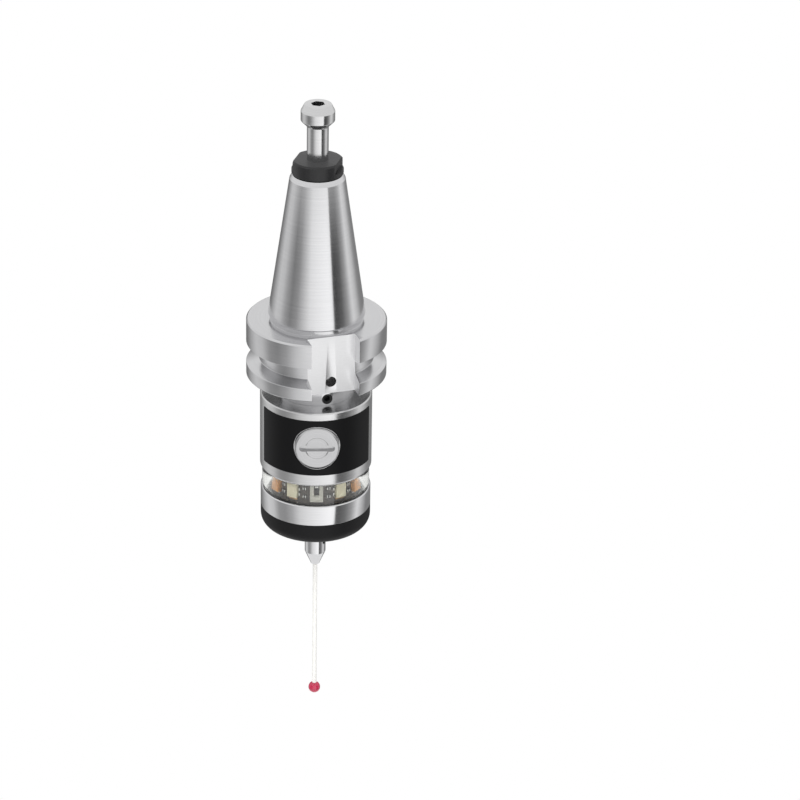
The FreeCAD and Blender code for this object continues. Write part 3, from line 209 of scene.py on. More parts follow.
# %% Cutters
def prism(name, outline, start, end, matrix=Matrix.Identity(4)):
    """An outline (x, y) drawn out from one height to another, then placed by a matrix."""
    count = len(outline)
    foot = [(x, y, start) for x, y in outline]
    head = [(x, y, end) for x, y in outline]
    sides = [[i, (i + 1) % count, count + (i + 1) % count, count + i] for i in range(count)]
    ends = [list(range(count))[::-1], list(range(count, 2 * count))]
    piece = new_object(name, foot + head, sides + ends)
    piece.data.transform(matrix)
    return piece


def circle(radius, steps=64, phase=0.0):
    angle = np.linspace(0.0, 2 * math.pi, steps, endpoint=False) + phase
    return list(zip(radius * np.cos(angle), radius * np.sin(angle)))


def rectangle(width, depth):
    x, y = width / 2, depth / 2
    return [(-x, -y), (x, -y), (x, y), (-x, y)]


def hexagon(flats):
    return circle(flats / math.sqrt(3.0), 6)


def stadium(length, width, steps=24):
    """A slot with round ends: two half circles, half the length less half the width apart."""
    angle = np.linspace(-math.pi / 2, math.pi / 2, steps)
    half = (length - width) / 2
    right = [(half + width / 2 * math.cos(a), width / 2 * math.sin(a)) for a in angle]
    left = [(-x, -y) for x, y in right]
    return right + left


def along(angle, level, spin=0.0):
    """The matrix that lays Z along a radius at that angle, at a level, X being level."""
    out = Vector((math.cos(angle), math.sin(angle), 0.0))
    up = Vector((0.0, 0.0, 1.0))
    level_axis = up.cross(out)
    turn = Matrix((level_axis, up, out)).transposed().to_4x4()
    return Matrix.Translation((0, 0, level)) @ turn @ Matrix.Rotation(spin, 4, "Z")


def cut(piece, *cutters, smooth=35.0):
    """Take the cutters away from the piece and keep what is left as its mesh."""
    for cutter in cutters:
        change = piece.modifiers.new("cut", "BOOLEAN")
        change.operation = "DIFFERENCE"
        change.solver = "EXACT"
        change.object = cutter
    graph = bpy.context.evaluated_depsgraph_get()
    kept = bpy.data.meshes.new_from_object(piece.evaluated_get(graph))
    piece.modifiers.clear()
    old = piece.data
    piece.data = kept
    kept.name = old.name
    bpy.data.meshes.remove(old)
    for cutter in cutters:
        bpy.data.objects.remove(cutter)
    shade(kept, smooth)
    return piece


def soften_edges(piece, chosen, width, segments=2, smooth=35.0):
    """Bevel the sharp edges that the chosen test picks by their two end points."""
    work = bmesh.new()
    work.from_mesh(piece.data)
    edges = [e for e in work.edges
             if len(e.link_faces) == 2 and e.calc_face_angle(0.0) > math.radians(30.0)
             and all(chosen(v.co) for v in e.verts)]
    bmesh.ops.bevel(work, geom=edges, offset=width, offset_type="OFFSET", segments=segments,
                    profile=0.5, affect="EDGES", clamp_overlap=True)
    work.to_mesh(piece.data)
    work.free()
    shade(piece.data, smooth)
    return piece


# %% [markdown]
# ## Materials from real finishes
#
# Every finish starts from what the real surface is. Colours are written as the hex values a
# designer would pick on a screen, and one function turns them to the linear values that the
# renderer works in. One more function adds a node with its settings and links.

# %% Colour and node helpers
def linear(code):
    """An sRGB hex code as linear RGBA: each channel c goes to ((c + 0.055) / 1.055) ^ 2.4."""
    channels = [int(code[i:i + 2], 16) / 255 for i in (1, 3, 5)]
    return [c / 12.92 if c <= 0.04045 else ((c + 0.055) / 1.055) ** 2.4 for c in channels] + [1.0]


def material(name):
    made = bpy.data.materials.new(name)
    made.use_nodes = True
    return made, made.node_tree, made.node_tree.nodes["Principled BSDF"]


def add(tree, kind, links=(), **settings):
    """Add a node. A setting whose name is a socket goes to that socket, any other to the node.
    Each link is (socket to fill, the output that fills it)."""
    node = tree.nodes.new(kind)
    for key, value in settings.items():
        socket = key.replace("_", " ")
        if socket in node.inputs:
            node.inputs[socket].default_value = value
        else:
            setattr(node, key, value)
    for socket, source in links:
        tree.links.new(source, node.inputs[socket])
    return node


def finish(shader, **settings):
    for key, value in settings.items():
        shader.inputs[key.replace("_", " ")].default_value = value


def object_place(tree):
    return add(tree, "ShaderNodeTexCoord").outputs["Object"]


def dress(piece, *materials):
    piece.data.materials.clear()
    for one in materials:
        piece.data.materials.append(one)
    return piece


# %% [markdown]
# ## Turned and ground steel
#
# A lathe or a cylindrical grinder leaves marks that run round the part. Seen from the side
# they are fine level lines, so the pattern is noise that is stretched a long way round the
# axis and very fine along it. It moves the roughness and the brightness a little. The marks
# also draw every reflection out across themselves, which gives a turned face its bright and
# dark rays: the shader does this when it is told which way the marks run.

# %% Lathe marks
def round_marks(tree, spacing, wander=0.02):
    """Noise in which height along the axis and distance from it count fully and the angle
    hardly at all, with one feature for each tool mark's spacing. A face across the axis gets
    rings and a side gets level lines."""
    place = add(tree, "ShaderNodeSeparateXYZ", [("Vector", object_place(tree))])
    square = add(tree, "ShaderNodeMath", [(0, place.outputs["X"]), (1, place.outputs["X"])],
                 operation="MULTIPLY")
    both = add(tree, "ShaderNodeMath", [(0, place.outputs["Y"]), (1, place.outputs["Y"]),
                                        (2, square.outputs["Value"])], operation="MULTIPLY_ADD")
    radius = add(tree, "ShaderNodeMath", [(0, both.outputs["Value"])], operation="SQRT")
    side = add(tree, "ShaderNodeMath", [(0, place.outputs["X"])], operation="MULTIPLY")
    side.inputs[1].default_value = wander
    joined = add(tree, "ShaderNodeCombineXYZ", [
        ("X", side.outputs["Value"]), ("Y", radius.outputs["Value"]), ("Z", place.outputs["Z"])])
    return add(tree, "ShaderNodeTexNoise", [("Vector", joined.outputs["Vector"])],
               Scale=1.0 / spacing, Detail=3.0, Roughness=0.6)


def across_marks(tree, shader, axis, centre, strength):
    """Reflections drawn out across marks that run round an axis through a centre: the marks
    lie along the axis crossed with the place, and a quarter turn points across them."""
    place = add(tree, "ShaderNodeVectorMath", [(0, object_place(tree))], operation="SUBTRACT")
    place.inputs[1].default_value = centre
    marks = add(tree, "ShaderNodeVectorMath", [(1, place.outputs["Vector"])],
                operation="CROSS_PRODUCT")
    marks.inputs[0].default_value = axis
    straight = add(tree, "ShaderNodeVectorMath", [(0, marks.outputs["Vector"])],
                   operation="NORMALIZE")
    tree.links.new(straight.outputs["Vector"], shader.inputs["Tangent"])
    finish(shader, Anisotropic=strength, Anisotropic_Rotation=0.25)


def turned_metal(name, pale, dark, rough, spacing, bump=0.02, spread=0.08, drawn=0.6):
    """Steel whose tint and roughness drift between two values along the tool marks."""
    made, tree, shader = material(name)
    marks = round_marks(tree, spacing)
    tint = add(tree, "ShaderNodeMix", [("Factor", marks.outputs["Fac"])], data_type="RGBA")
    tint.inputs["A"].default_value = linear(dark)
    tint.inputs["B"].default_value = linear(pale)
    tree.links.new(tint.outputs["Result"], shader.inputs["Base Color"])
    worn = add(tree, "ShaderNodeMapRange", [("Value", marks.outputs["Fac"])])
    worn.inputs["To Min"].default_value = rough - spread / 2
    worn.inputs["To Max"].default_value = rough + spread / 2
    tree.links.new(worn.outputs["Result"], shader.inputs["Roughness"])
    raised = add(tree, "ShaderNodeBump", [("Height", marks.outputs["Fac"])],
                 Strength=bump, Distance=0.02 * MM)
    tree.links.new(raised.outputs["Normal"], shader.inputs["Normal"])
    finish(shader, Metallic=1.0)
    across_marks(tree, shader, (0.0, 0.0, 1.0), (0.0, 0.0, 0.0), drawn)
    return made


GROUND = turned_metal("ground_hardened_steel", "#dcdcdd", "#c9c9cb", 0.16, 0.35 * MM, 0.25)
FLANGE = turned_metal("finish_turned_steel", "#d6d6d7", "#c2c2c4", 0.17, 0.25 * MM, 0.3)
SATIN = turned_metal("satin_stainless_steel", "#d9d9d9", "#c6c6c7", 0.24, 0.2 * MM, 0.3)
BRIGHT = turned_metal("bright_turned_stainless_steel", "#e0e0e1", "#cdcdcf", 0.14, 0.3 * MM, 0.2)
STUD = turned_metal("turned_stud_steel", "#dadada", "#c4c4c5", 0.16, 0.3 * MM, 0.3)
MILLED = turned_metal("milled_slot_steel", "#e6e6e7", "#dadadb", 0.34, 0.5 * MM, 0.3, drawn=0.0)
INNER = turned_metal("as_turned_inner_steel", "#b9b9bb", "#9c9c9f", 0.3, 0.3 * MM, 0.3)
WIRE = turned_metal("drawn_spring_wire", "#b4b4b8", "#8d8d92", 0.25, 0.2 * MM, 0.2)
BRASS = turned_metal("turned_brass", "#d2b173", "#b8954f", 0.25, 0.3 * MM, 0.2)
CELL = turned_metal("nickel_plated_cell", "#d8d8da", "#c8c8cc", 0.2, 0.4 * MM, 0.1)


# %% [markdown]
# ## Dark, clear and coloured finishes
#
# Black oxide, anodised aluminium, moulded plastic, circuit boards, a clear polycarbonate
# window, ceramic and ruby. Each has a very fine grain, so that it isn't one flat colour.

# %% Grained finishes
def grained(name, pale, dark, rough, grain, bump=0.1, spread=0.1, **settings):
    """A surface whose colour and roughness vary with a fine even grain of the given size."""
    made, tree, shader = material(name)
    noise = add(tree, "ShaderNodeTexNoise", [("Vector", object_place(tree))],
                Scale=1.0 / grain, Detail=4.0, Roughness=0.6)
    tint = add(tree, "ShaderNodeMix", [("Factor", noise.outputs["Fac"])], data_type="RGBA")
    tint.inputs["A"].default_value = linear(dark)
    tint.inputs["B"].default_value = linear(pale)
    tree.links.new(tint.outputs["Result"], shader.inputs["Base Color"])
    worn = add(tree, "ShaderNodeMapRange", [("Value", noise.outputs["Fac"])])
    worn.inputs["To Min"].default_value = rough - spread / 2
    worn.inputs["To Max"].default_value = rough + spread / 2
    tree.links.new(worn.outputs["Result"], shader.inputs["Roughness"])
    raised = add(tree, "ShaderNodeBump", [("Height", noise.outputs["Fac"])],
                 Strength=bump, Distance=0.01 * MM)
    tree.links.new(raised.outputs["Normal"], shader.inputs["Normal"])
    finish(shader, **settings)
    return made


OXIDE = grained("black_oxide_steel", "#232324", "#141415", 0.36, 0.4 * MM, Specular_IOR_Level=0.35)
ANODISED = grained("black_anodised_aluminium", "#171718", "#101011", 0.5, 0.15 * MM,
                   Specular_IOR_Level=0.15)
LABEL = grained("satin_black_label_film", "#0f0f10", "#0a0a0b", 0.45, 0.3 * MM,
                Specular_IOR_Level=0.12)
RUBBER = grained("moulded_nitrile_rubber", "#202021", "#131314", 0.6, 0.3 * MM)
MOULDED = grained("moulded_black_nylon", "#29292a", "#1a1a1b", 0.5, 0.3 * MM)
ACETAL = grained("turned_acetal", "#d9d0bd", "#c9bfa9", 0.4, 0.4 * MM)
BOARD = grained("dark_solder_mask", "#4b4038", "#352c26", 0.4, 0.6 * MM)
CHIP = grained("moulded_chip_package", "#2a2927", "#1a1918", 0.45, 0.2 * MM)
LAMP = grained("pale_lamp_package", "#e2e0d8", "#cfccc2", 0.4, 0.3 * MM)
CREAM = grained("cream_receiver_package", "#fff8e2", "#f5ebcb", 0.35, 0.4 * MM)
AMBER = grained("amber_epoxy_package", "#f4a63e", "#e08c26", 0.25, 0.6 * MM)
COPPER = turned_metal("tinned_copper_pad", "#d8b48c", "#c29a6e", 0.3, 0.5 * MM)
SOLDER = turned_metal("tinned_terminal", "#dcdcdc", "#c4c4c4", 0.25, 0.4 * MM)
CERAMIC = grained("ground_alumina_ceramic", "#ebeae7", "#e2e1dd", 0.3, 0.3 * MM)


def clear_plastic():
    """Clear polycarbonate: all of the light goes through, with a faint tint and fine scuffs."""
    made, tree, shader = material("clear_polycarbonate")
    noise = add(tree, "ShaderNodeTexNoise", [("Vector", object_place(tree))],
                Scale=1.0 / (2.0 * MM), Detail=3.0)
    worn = add(tree, "ShaderNodeMapRange", [("Value", noise.outputs["Fac"])])
    worn.inputs["To Min"].default_value = 0.02
    worn.inputs["To Max"].default_value = 0.06
    tree.links.new(worn.outputs["Result"], shader.inputs["Roughness"])
    finish(shader, Base_Color=linear("#f6f7f4"), Transmission_Weight=1.0, IOR=1.58)
    return made


def ruby():
    """Synthetic ruby: clear red corundum, polished."""
    made, tree, shader = material("polished_synthetic_ruby")
    noise = add(tree, "ShaderNodeTexNoise", [("Vector", object_place(tree))],
                Scale=1.0 / (1.5 * MM), Detail=2.0)
    tint = add(tree, "ShaderNodeMix", [("Factor", noise.outputs["Fac"])], data_type="RGBA")
    tint.inputs["A"].default_value = linear("#c01848")
    tint.inputs["B"].default_value = linear("#d02455")
    tree.links.new(tint.outputs["Result"], shader.inputs["Base Color"])
    finish(shader, Roughness=0.04, Transmission_Weight=0.45, IOR=1.77)
    return made


CLEAR = clear_plastic()
RUBY = ruby()
print("materials:", len(bpy.data.materials))


# %% [markdown]
# ## The taper shank
#
# One hardened piece, turned and then ground: the taper, a small relief above the flange, the
# flange with its V-groove for the tool changer, and the neck. Its profile is turned, and the
# two drive slots and the screw holes are cut. The sizes are those of the 30 taper.

# %% Taper shank
TAPER_BIG = 31.75 * MM / 2
FLANGE_TOP = -2.0 * MM
FLANGE_BOTTOM = -22.0 * MM
FLANGE_RIM = widest("taper_shank")
GROOVE_LEVEL = -13.8 * MM
NECK_RADIUS = 12.5 * MM
NECK_FOOT = low("taper_shank")
TAPER_TOP = high("taper_shank")
TAPER_RATE = 7 / 48          # radius lost for each unit of height
TAPER_TIP = TAPER_BIG - TAPER_TOP * TAPER_RATE
TIP_SLOPE = 1.5 * MM         # height of the chamfer at the tip
RELIEF = 0.6 * MM            # depth of the relief and of that chamfer
RELIEF_TOP = -0.5 * MM
FLANGE_EDGE = 0.5 * MM
GROOVE_RADIUS = 18.75 * MM
GROOVE_FLOOR = 2.0 * MM      # half of the height of the V-groove's floor
GROOVE_MOUTH = 3.65 * MM     # half of the height of its mouth
SLOT_HALF = 8.05 * MM
SLOT_BACK = 16.3 * MM
SCREW_HOLE = 1.8 * MM        # radius of the holes of the clamp and neck screws
CLAMP_DROP = 16.0 * MM       # from the flange's top down to the clamp screws
NECK_RISE = 2.3 * MM         # from the neck's foot up to the neck screws


def taper_shank():
    """Taper, relief, flange and neck in one profile, then the slots and the screw holes."""
    corners = [
        (0.0, NECK_FOOT),
        (NECK_RADIUS, NECK_FOOT),
        (NECK_RADIUS, FLANGE_BOTTOM),
        (FLANGE_RIM - FLANGE_EDGE, FLANGE_BOTTOM),
        (FLANGE_RIM, FLANGE_BOTTOM + FLANGE_EDGE),
        (FLANGE_RIM, GROOVE_LEVEL - GROOVE_MOUTH),
        (GROOVE_RADIUS, GROOVE_LEVEL - GROOVE_FLOOR),
        (GROOVE_RADIUS, GROOVE_LEVEL + GROOVE_FLOOR),
        (FLANGE_RIM, GROOVE_LEVEL + GROOVE_MOUTH),
        (FLANGE_RIM, FLANGE_TOP - FLANGE_EDGE),
        (FLANGE_RIM - FLANGE_EDGE, FLANGE_TOP),
        (TAPER_BIG - RELIEF, FLANGE_TOP),
        (TAPER_BIG - RELIEF, RELIEF_TOP),
        (TAPER_BIG, 0.0),
        (TAPER_TIP + TIP_SLOPE * TAPER_RATE, TAPER_TOP - TIP_SLOPE),
        (TAPER_TIP - RELIEF, TAPER_TOP),
        (0.0, TAPER_TOP),
    ]
    piece = turned("taper_body", corners, 0.12 * MM, steps=360)
    depth = FLANGE_TOP - FLANGE_BOTTOM
    cutters = []
    for index, angle in enumerate(SLOT_SIDES):
        out = FLANGE_RIM * 1.2
        box = rectangle(SLOT_HALF * 2, out - SLOT_BACK)
        middle = Matrix.Rotation(angle - math.pi / 2, 4, "Z") @ Matrix.Translation(
            (0, (out + SLOT_BACK) / 2, 0))
        cutters.append(prism(f"slot_cutter_{index}", box, FLANGE_BOTTOM - depth * 0.02,
                             FLANGE_TOP + depth * 0.02, middle))
        cutters.append(prism(f"clamp_cutter_{index}", circle(SCREW_HOLE), SLOT_BACK - 3.0 * MM,
                             SLOT_BACK + 1.0 * MM, along(angle, FLANGE_TOP - CLAMP_DROP)))
    for index in range(4):
        cutters.append(prism(f"neck_cutter_{index}", circle(SCREW_HOLE), NECK_RADIUS - 2.5 * MM,
                             NECK_RADIUS + 1.0 * MM,
                             along(index * math.pi / 2, NECK_FOOT + NECK_RISE)))
    cut(piece, *cutters)

    def on_slot(at):
        side = abs(abs(at.x) - SLOT_HALF) < 0.02 * MM and abs(at.y) > SLOT_BACK - 0.1 * MM
        back = abs(abs(at.y) - SLOT_BACK) < 0.02 * MM and abs(at.x) < SLOT_HALF + 0.1 * MM
        return side or back

    soften_edges(piece, on_slot, 0.18 * MM)
    return piece


# %% [markdown]
# The flange, the taper and the slot walls carry three different finishes, so each face of the
# mesh is given its material by where it lies.

# %% Finishes of the shank
def paint_shank(piece):
    """Faces above the gauge line are ground, those inside a slot are milled, and the rest is
    finish turned."""
    dress(piece, GROUND, FLANGE, MILLED)
    mesh = piece.data
    count = len(mesh.polygons)
    centre = np.zeros(count * 3, np.float32)
    normal = np.zeros(count * 3, np.float32)
    mesh.polygons.foreach_get("center", centre)
    mesh.polygons.foreach_get("normal", normal)
    centre = centre.reshape(-1, 3)
    normal = normal.reshape(-1, 3)
    chosen = np.where(centre[:, 2] > -0.4 * MM, 0, 1)
    x, y = np.abs(centre[:, 0]), np.abs(centre[:, 1])
    level_x, level_y = np.abs(normal[:, 0]) > 0.99, np.abs(normal[:, 1]) > 0.99
    side = (np.abs(x - SLOT_HALF) < 0.03 * MM) & level_x & (y > SLOT_BACK)
    rear = (np.abs(y - SLOT_BACK) < 0.03 * MM) & level_y & (x < SLOT_HALF)
    in_slot = side | rear
    chosen[in_slot & (centre[:, 2] < FLANGE_TOP)] = 2
    mesh.polygons.foreach_set("material_index", chosen.astype(np.int32))


shank = taper_shank()
paint_shank(shank)
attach(shank, "probe")
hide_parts("taper_shank")
print("shank:", len(shank.data.polygons), "faces")


# %% [markdown]
# ## The pull stud
#
# The spindle pulls on this stud. Its head and stem are bright, its collar is black, and the
# collar has two flats for a spanner. The head has a hexagon socket.

# %% Pull stud
STUD_TOP = high("pull_stud")
COLLAR = widest("pull_stud")
COLLAR_TOP = TAPER_TOP + 5.0 * MM
COLLAR_LIP = 1.8 * MM        # the full round below the flats
COLLAR_EDGE = 0.5 * MM
FLATS_HALF = 7.0 * MM
STEM = 3.5 * MM
HEAD = 5.5 * MM
HEAD_FACE = 4.35 * MM        # radius of the head's flat top
STEM_END = STUD_TOP - 7.5 * MM
HEAD_START = STUD_TOP - 5.5 * MM
HEAD_END = STUD_TOP - 2.3 * MM
SOCKET_FLATS = 4.0 * MM
SOCKET_DEPTH = 4.5 * MM
STUD_TURN = math.radians(-33.0)


def stud_body():
    """Stem and head above the collar, with the socket in the top."""
    corners = [
        (0.0, COLLAR_TOP - 0.5 * MM),
        (STEM, COLLAR_TOP - 0.5 * MM),
        (STEM, STEM_END),
        (HEAD, HEAD_START),
        (HEAD, HEAD_END),
        (HEAD_FACE, STUD_TOP),
        (0.0, STUD_TOP),
    ]
    piece = turned("stud_stem_and_head", corners, 0.2 * MM, steps=128)
    return cut(piece, prism("socket_cutter", hexagon(SOCKET_FLATS), STUD_TOP - SOCKET_DEPTH,
                            STUD_TOP + 1.0 * MM, Matrix.Rotation(STUD_TURN, 4, "Z")))


def stud_collar():
    corners = [
        (0.0, TAPER_TOP),
        (COLLAR - COLLAR_EDGE, TAPER_TOP),
        (COLLAR, TAPER_TOP + COLLAR_EDGE),
        (COLLAR, COLLAR_TOP - COLLAR_EDGE),
        (COLLAR - COLLAR_EDGE, COLLAR_TOP),
        (0.0, COLLAR_TOP),
    ]
    piece = turned("stud_collar", corners, 0.15 * MM, steps=160)
    cutters = []
    for index, angle in enumerate((STUD_TURN, STUD_TURN + math.pi)):
        place = Matrix.Rotation(angle, 4, "Z") @ Matrix.Translation((FLATS_HALF + COLLAR, 0, 0))
        cutters.append(prism(f"flat_cutter_{index}", rectangle(COLLAR * 2, COLLAR * 3),
                             TAPER_TOP + COLLAR_LIP, COLLAR_TOP + 1.0 * MM, place))
    return cut(piece, *cutters)


stud = dress(stud_body(), STUD)
collar = dress(stud_collar(), OXIDE)
for piece in (stud, collar):
    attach(piece, "probe")
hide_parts("pull_stud")


# %% [markdown]
# ## Probe housing
#
# A satin stainless housing with a flat round seat for the battery cap. It is hollow, but only
# its outside and its foot show.

# %% Housing
HOUSING = widest("probe_housing")
HOUSING_TOP = NECK_FOOT
HOUSING_FOOT = low("probe_housing")
CAP_LOW, CAP_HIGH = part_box("battery_cap")
CAP_LEVEL = (CAP_LOW.z + CAP_HIGH.z) / 2
CAP_RADIUS = (CAP_HIGH.z - CAP_LOW.z) / 2
CAP_SEAT = 16.3 * MM
HOUSING_BORE = 15.0 * MM
HOUSING_ROOF = 1.5 * MM
HOUSING_EDGE = 0.4 * MM
FOOT_IN, FOOT_UP = 0.55 * MM, 0.8 * MM      # the chamfer at the foot
SPIGOT_RADIUS, SPIGOT_RISE = 8.2 * MM, 3.0 * MM


def probe_housing():
    corners = [
        (HOUSING_BORE, HOUSING_FOOT),
        (HOUSING - FOOT_IN, HOUSING_FOOT),
        (HOUSING, HOUSING_FOOT + FOOT_UP),
        (HOUSING, HOUSING_TOP - HOUSING_EDGE),
        (HOUSING - HOUSING_EDGE, HOUSING_TOP),
        (SPIGOT_RADIUS, HOUSING_TOP),
        (SPIGOT_RADIUS, HOUSING_TOP + SPIGOT_RISE),
        (0.0, HOUSING_TOP + SPIGOT_RISE),
        (0.0, HOUSING_TOP - HOUSING_ROOF),
        (HOUSING_BORE, HOUSING_TOP - HOUSING_ROOF),
    ]
    piece = turned("housing_shell", corners, 0.12 * MM, steps=320)
    seat = prism("seat_cutter", circle(CAP_RADIUS + 0.2 * MM, 160), CAP_SEAT, CAP_SEAT + 5 * MM,
                 along(FRONT, CAP_LEVEL))
    return cut(piece, seat)


housing = dress(probe_housing(), SATIN)
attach(housing, "probe")
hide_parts("probe_housing")


# %% [markdown]
# ## The label band
#
# A thin black band wrapped part of the way round, with a round hole for the cap. It is left
# bare. Its rectangular section is carried round the axis through part of a turn, and a round
# cutter opens the hole.

# %% Label band
LABEL_LOW = low("label_band")
LABEL_HIGH = high("label_band")
LABEL_HALF = math.radians(135.0 / 2)
LABEL_GLUE = 0.02 * MM
LABEL_IN = HOUSING + LABEL_GLUE
LABEL_OUT = widest("label_band")
LABEL_HOLE = CAP_RADIUS + 0.4 * MM


def label_band():
    """Each corner (r, z) of the section goes to (r cos a, r sin a, z) for every angle a
    across the band."""
    steps = 200
    angle = FRONT + np.linspace(-LABEL_HALF, LABEL_HALF, steps)
    section = [(LABEL_IN, LABEL_LOW), (LABEL_OUT, LABEL_LOW), (LABEL_OUT, LABEL_HIGH),
               (LABEL_IN, LABEL_HIGH)]
    r = np.array([c[0] for c in section])
    z = np.array([c[1] for c in section])
    grid = np.stack([np.outer(np.cos(angle), r), np.outer(np.sin(angle), r),
                     np.repeat(z[None], steps, axis=0)], axis=-1)
    quads = []
    for i in range(0, 4 * (steps - 1), 4):
        for k in range(4):
            beside = (k + 1) % 4
            quads.append([i + k, i + beside, i + 4 + beside, i + 4 + k])
    ends = [[0, 1, 2, 3], [4 * steps - 1, 4 * steps - 2, 4 * steps - 3, 4 * steps - 4]]
    piece = new_object("bare_label_band", grid.reshape(-1, 3).tolist(), quads + ends)
    hole = prism("hole_cutter", circle(LABEL_HOLE, 160), HOUSING * 0.7, HOUSING * 1.2,
                 along(FRONT, CAP_LEVEL))
    return cut(piece, hole)


band = dress(label_band(), LABEL)
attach(band, "probe")
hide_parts("label_band")


# %% [markdown]
# ## Battery cap
#
# A spun disc with a chamfered rim, a shallow dish in the middle and a slot for a coin. It is
# turned about Z at the origin and then laid along the housing's front.

# %% Battery cap
CAP_HEAD = 2.4 * MM          # from the seat out to the face
CAP_ROOT = 2.0 * MM
CAP_EDGE = 0.5 * MM
DISH_TOP, DISH_FLOOR, DISH_DEPTH = 3.9 * MM, 3.6 * MM, 0.25 * MM
COIN_LENGTH, COIN_WIDTH, COIN_DEPTH = 11.6 * MM, 2.2 * MM, 1.3 * MM


def battery_cap():
    """The face is flat near the rim and sinks into a shallow dish, a short cone then level."""
    corners = [
        (0.0, -CAP_ROOT),
        (CAP_RADIUS, -CAP_ROOT),
        (CAP_RADIUS, CAP_HEAD - CAP_EDGE),
        (CAP_RADIUS - CAP_EDGE, CAP_HEAD),
        (DISH_TOP, CAP_HEAD),
        (DISH_FLOOR, CAP_HEAD - DISH_DEPTH),
        (0.0, CAP_HEAD - DISH_DEPTH),
    ]
    piece = turned("battery_cap_disc", corners, 0.1 * MM, steps=192)
    cut(piece, prism("coin_cutter", stadium(COIN_LENGTH, COIN_WIDTH), CAP_HEAD - COIN_DEPTH,
                     CAP_HEAD + 1.0 * MM))
    piece.data.transform(along(FRONT, CAP_LEVEL) @ Matrix.Translation((0, 0, CAP_SEAT)))
    return piece


cap = battery_cap()


# %% [markdown]
# The cap's face was spun, so its marks are rings about the cap's own axis. A Mapping node
# moves the pattern to the cap's centre and turns it the way that the cap faces.

# %% Spun finish
def spun_face():
    made, tree, shader = material("spun_stainless_face")
    centre = along(FRONT, CAP_LEVEL)
    turn = centre.to_3x3().inverted()
    shift = turn @ Vector((0, 0, CAP_LEVEL))
    mapped = add(tree, "ShaderNodeMapping", [("Vector", object_place(tree))],
                 Location=-shift, Rotation=turn.to_euler())
    flat = add(tree, "ShaderNodeSeparateXYZ", [("Vector", mapped.outputs["Vector"])])
    plane = add(tree, "ShaderNodeCombineXYZ", [("X", flat.outputs["X"]), ("Y", flat.outputs["Y"])])
    reach = add(tree, "ShaderNodeVectorMath", [("Vector", plane.outputs["Vector"])],
                operation="LENGTH")
    line = add(tree, "ShaderNodeCombineXYZ", [("X", reach.outputs["Value"])])
    rings = add(tree, "ShaderNodeTexNoise", [("Vector", line.outputs["Vector"])],
                Scale=1.0 / (0.3 * MM), Detail=2.0)
    tint = add(tree, "ShaderNodeMix", [("Factor", rings.outputs["Fac"])], data_type="RGBA")
    tint.inputs["A"].default_value = linear("#b4b4b5")
    tint.inputs["B"].default_value = linear("#c9c9ca")
    tree.links.new(tint.outputs["Result"], shader.inputs["Base Color"])
    raised = add(tree, "ShaderNodeBump", [("Height", rings.outputs["Fac"])],
                 Strength=0.2, Distance=0.02 * MM)
    tree.links.new(raised.outputs["Normal"], shader.inputs["Normal"])
    finish(shader, Metallic=1.0, Roughness=0.26)
    across_marks(tree, shader, (math.cos(FRONT), math.sin(FRONT), 0.0), (0.0, 0.0, CAP_LEVEL), 0.85)
    return made


SPUN = spun_face()
dress(cap, SPUN)
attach(cap, "probe")
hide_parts("battery_cap")


# %% [markdown]
# ## Clear window and the ring behind it
#
# The window is a plain tube. Behind it a flexible board is wrapped round the barrel, and it
# carries the infrared senders and receivers. Each package is a small block with softened
# edges, and most have bright terminals or a pad beside them.

# %% Window
WINDOW_OUT = widest("window_ring")
WINDOW_WALL = 2.2 * MM
WINDOW_IN = WINDOW_OUT - WINDOW_WALL
WINDOW_LOW = low("window_ring")
WINDOW_HIGH = high("window_ring")
window = dress(turned("clear_window_tube", [
    (WINDOW_IN, WINDOW_LOW), (WINDOW_OUT, WINDOW_LOW),
    (WINDOW_OUT, WINDOW_HIGH), (WINDOW_IN, WINDOW_HIGH)], 0.15 * MM, steps=256), CLEAR)
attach(window, "probe")
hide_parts("window_ring")

# %% Steel ring under the window
RING_OUT = widest("clamp_ring")
RING_LOW = low("clamp_ring")
RING_HIGH = high("clamp_ring")
RING_BORE = 15.0 * MM
RING_GAP = 0.05 * MM         # shows between the ring and the cover
RING_EDGE = 0.3 * MM
ring = dress(turned("steel_clamp_ring", [
    (RING_BORE, RING_LOW + RING_GAP), (RING_OUT, RING_LOW + RING_GAP),
    (RING_OUT, RING_HIGH - RING_EDGE), (RING_OUT - RING_EDGE, RING_HIGH), (RING_BORE, RING_HIGH),
], 0.12 * MM, steps=320), BRIGHT)
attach(ring, "probe")
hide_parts("clamp_ring")


# %% Packages on the wrapped board
BOARD_OUT = widest("sensor_board")
MIDDLE = (WINDOW_LOW + WINDOW_HIGH) / 2
PACKAGE_EDGE = 0.1 * MM


def block(width, height, depth):
    """A block that stands on its back face: width across, height up, depth outwards, with
    every edge softened."""
    work = bmesh.new()
    bmesh.ops.create_cube(work, size=1.0)
    bmesh.ops.scale(work, vec=(width, height, depth), verts=work.verts)
    bmesh.ops.translate(work, vec=(0, 0, depth / 2), verts=work.verts)
    bmesh.ops.bevel(work, geom=work.edges, offset=PACKAGE_EDGE, segments=2, profile=0.5,
                     affect="EDGES")
    mesh = bpy.data.meshes.new("block")
    work.to_mesh(mesh)
    work.free()
    return mesh


def stand(name, mesh, angle, level, radius, across):
    """Stand a block on a cylinder of that radius, facing outwards, its middle moved across."""
    mesh.transform(along(angle, level) @ Matrix.Translation((across, 0, radius)))
    piece = bpy.data.objects.new(name, mesh)
    scene.collection.objects.link(piece)
    shade(mesh, 40.0)
    return piece


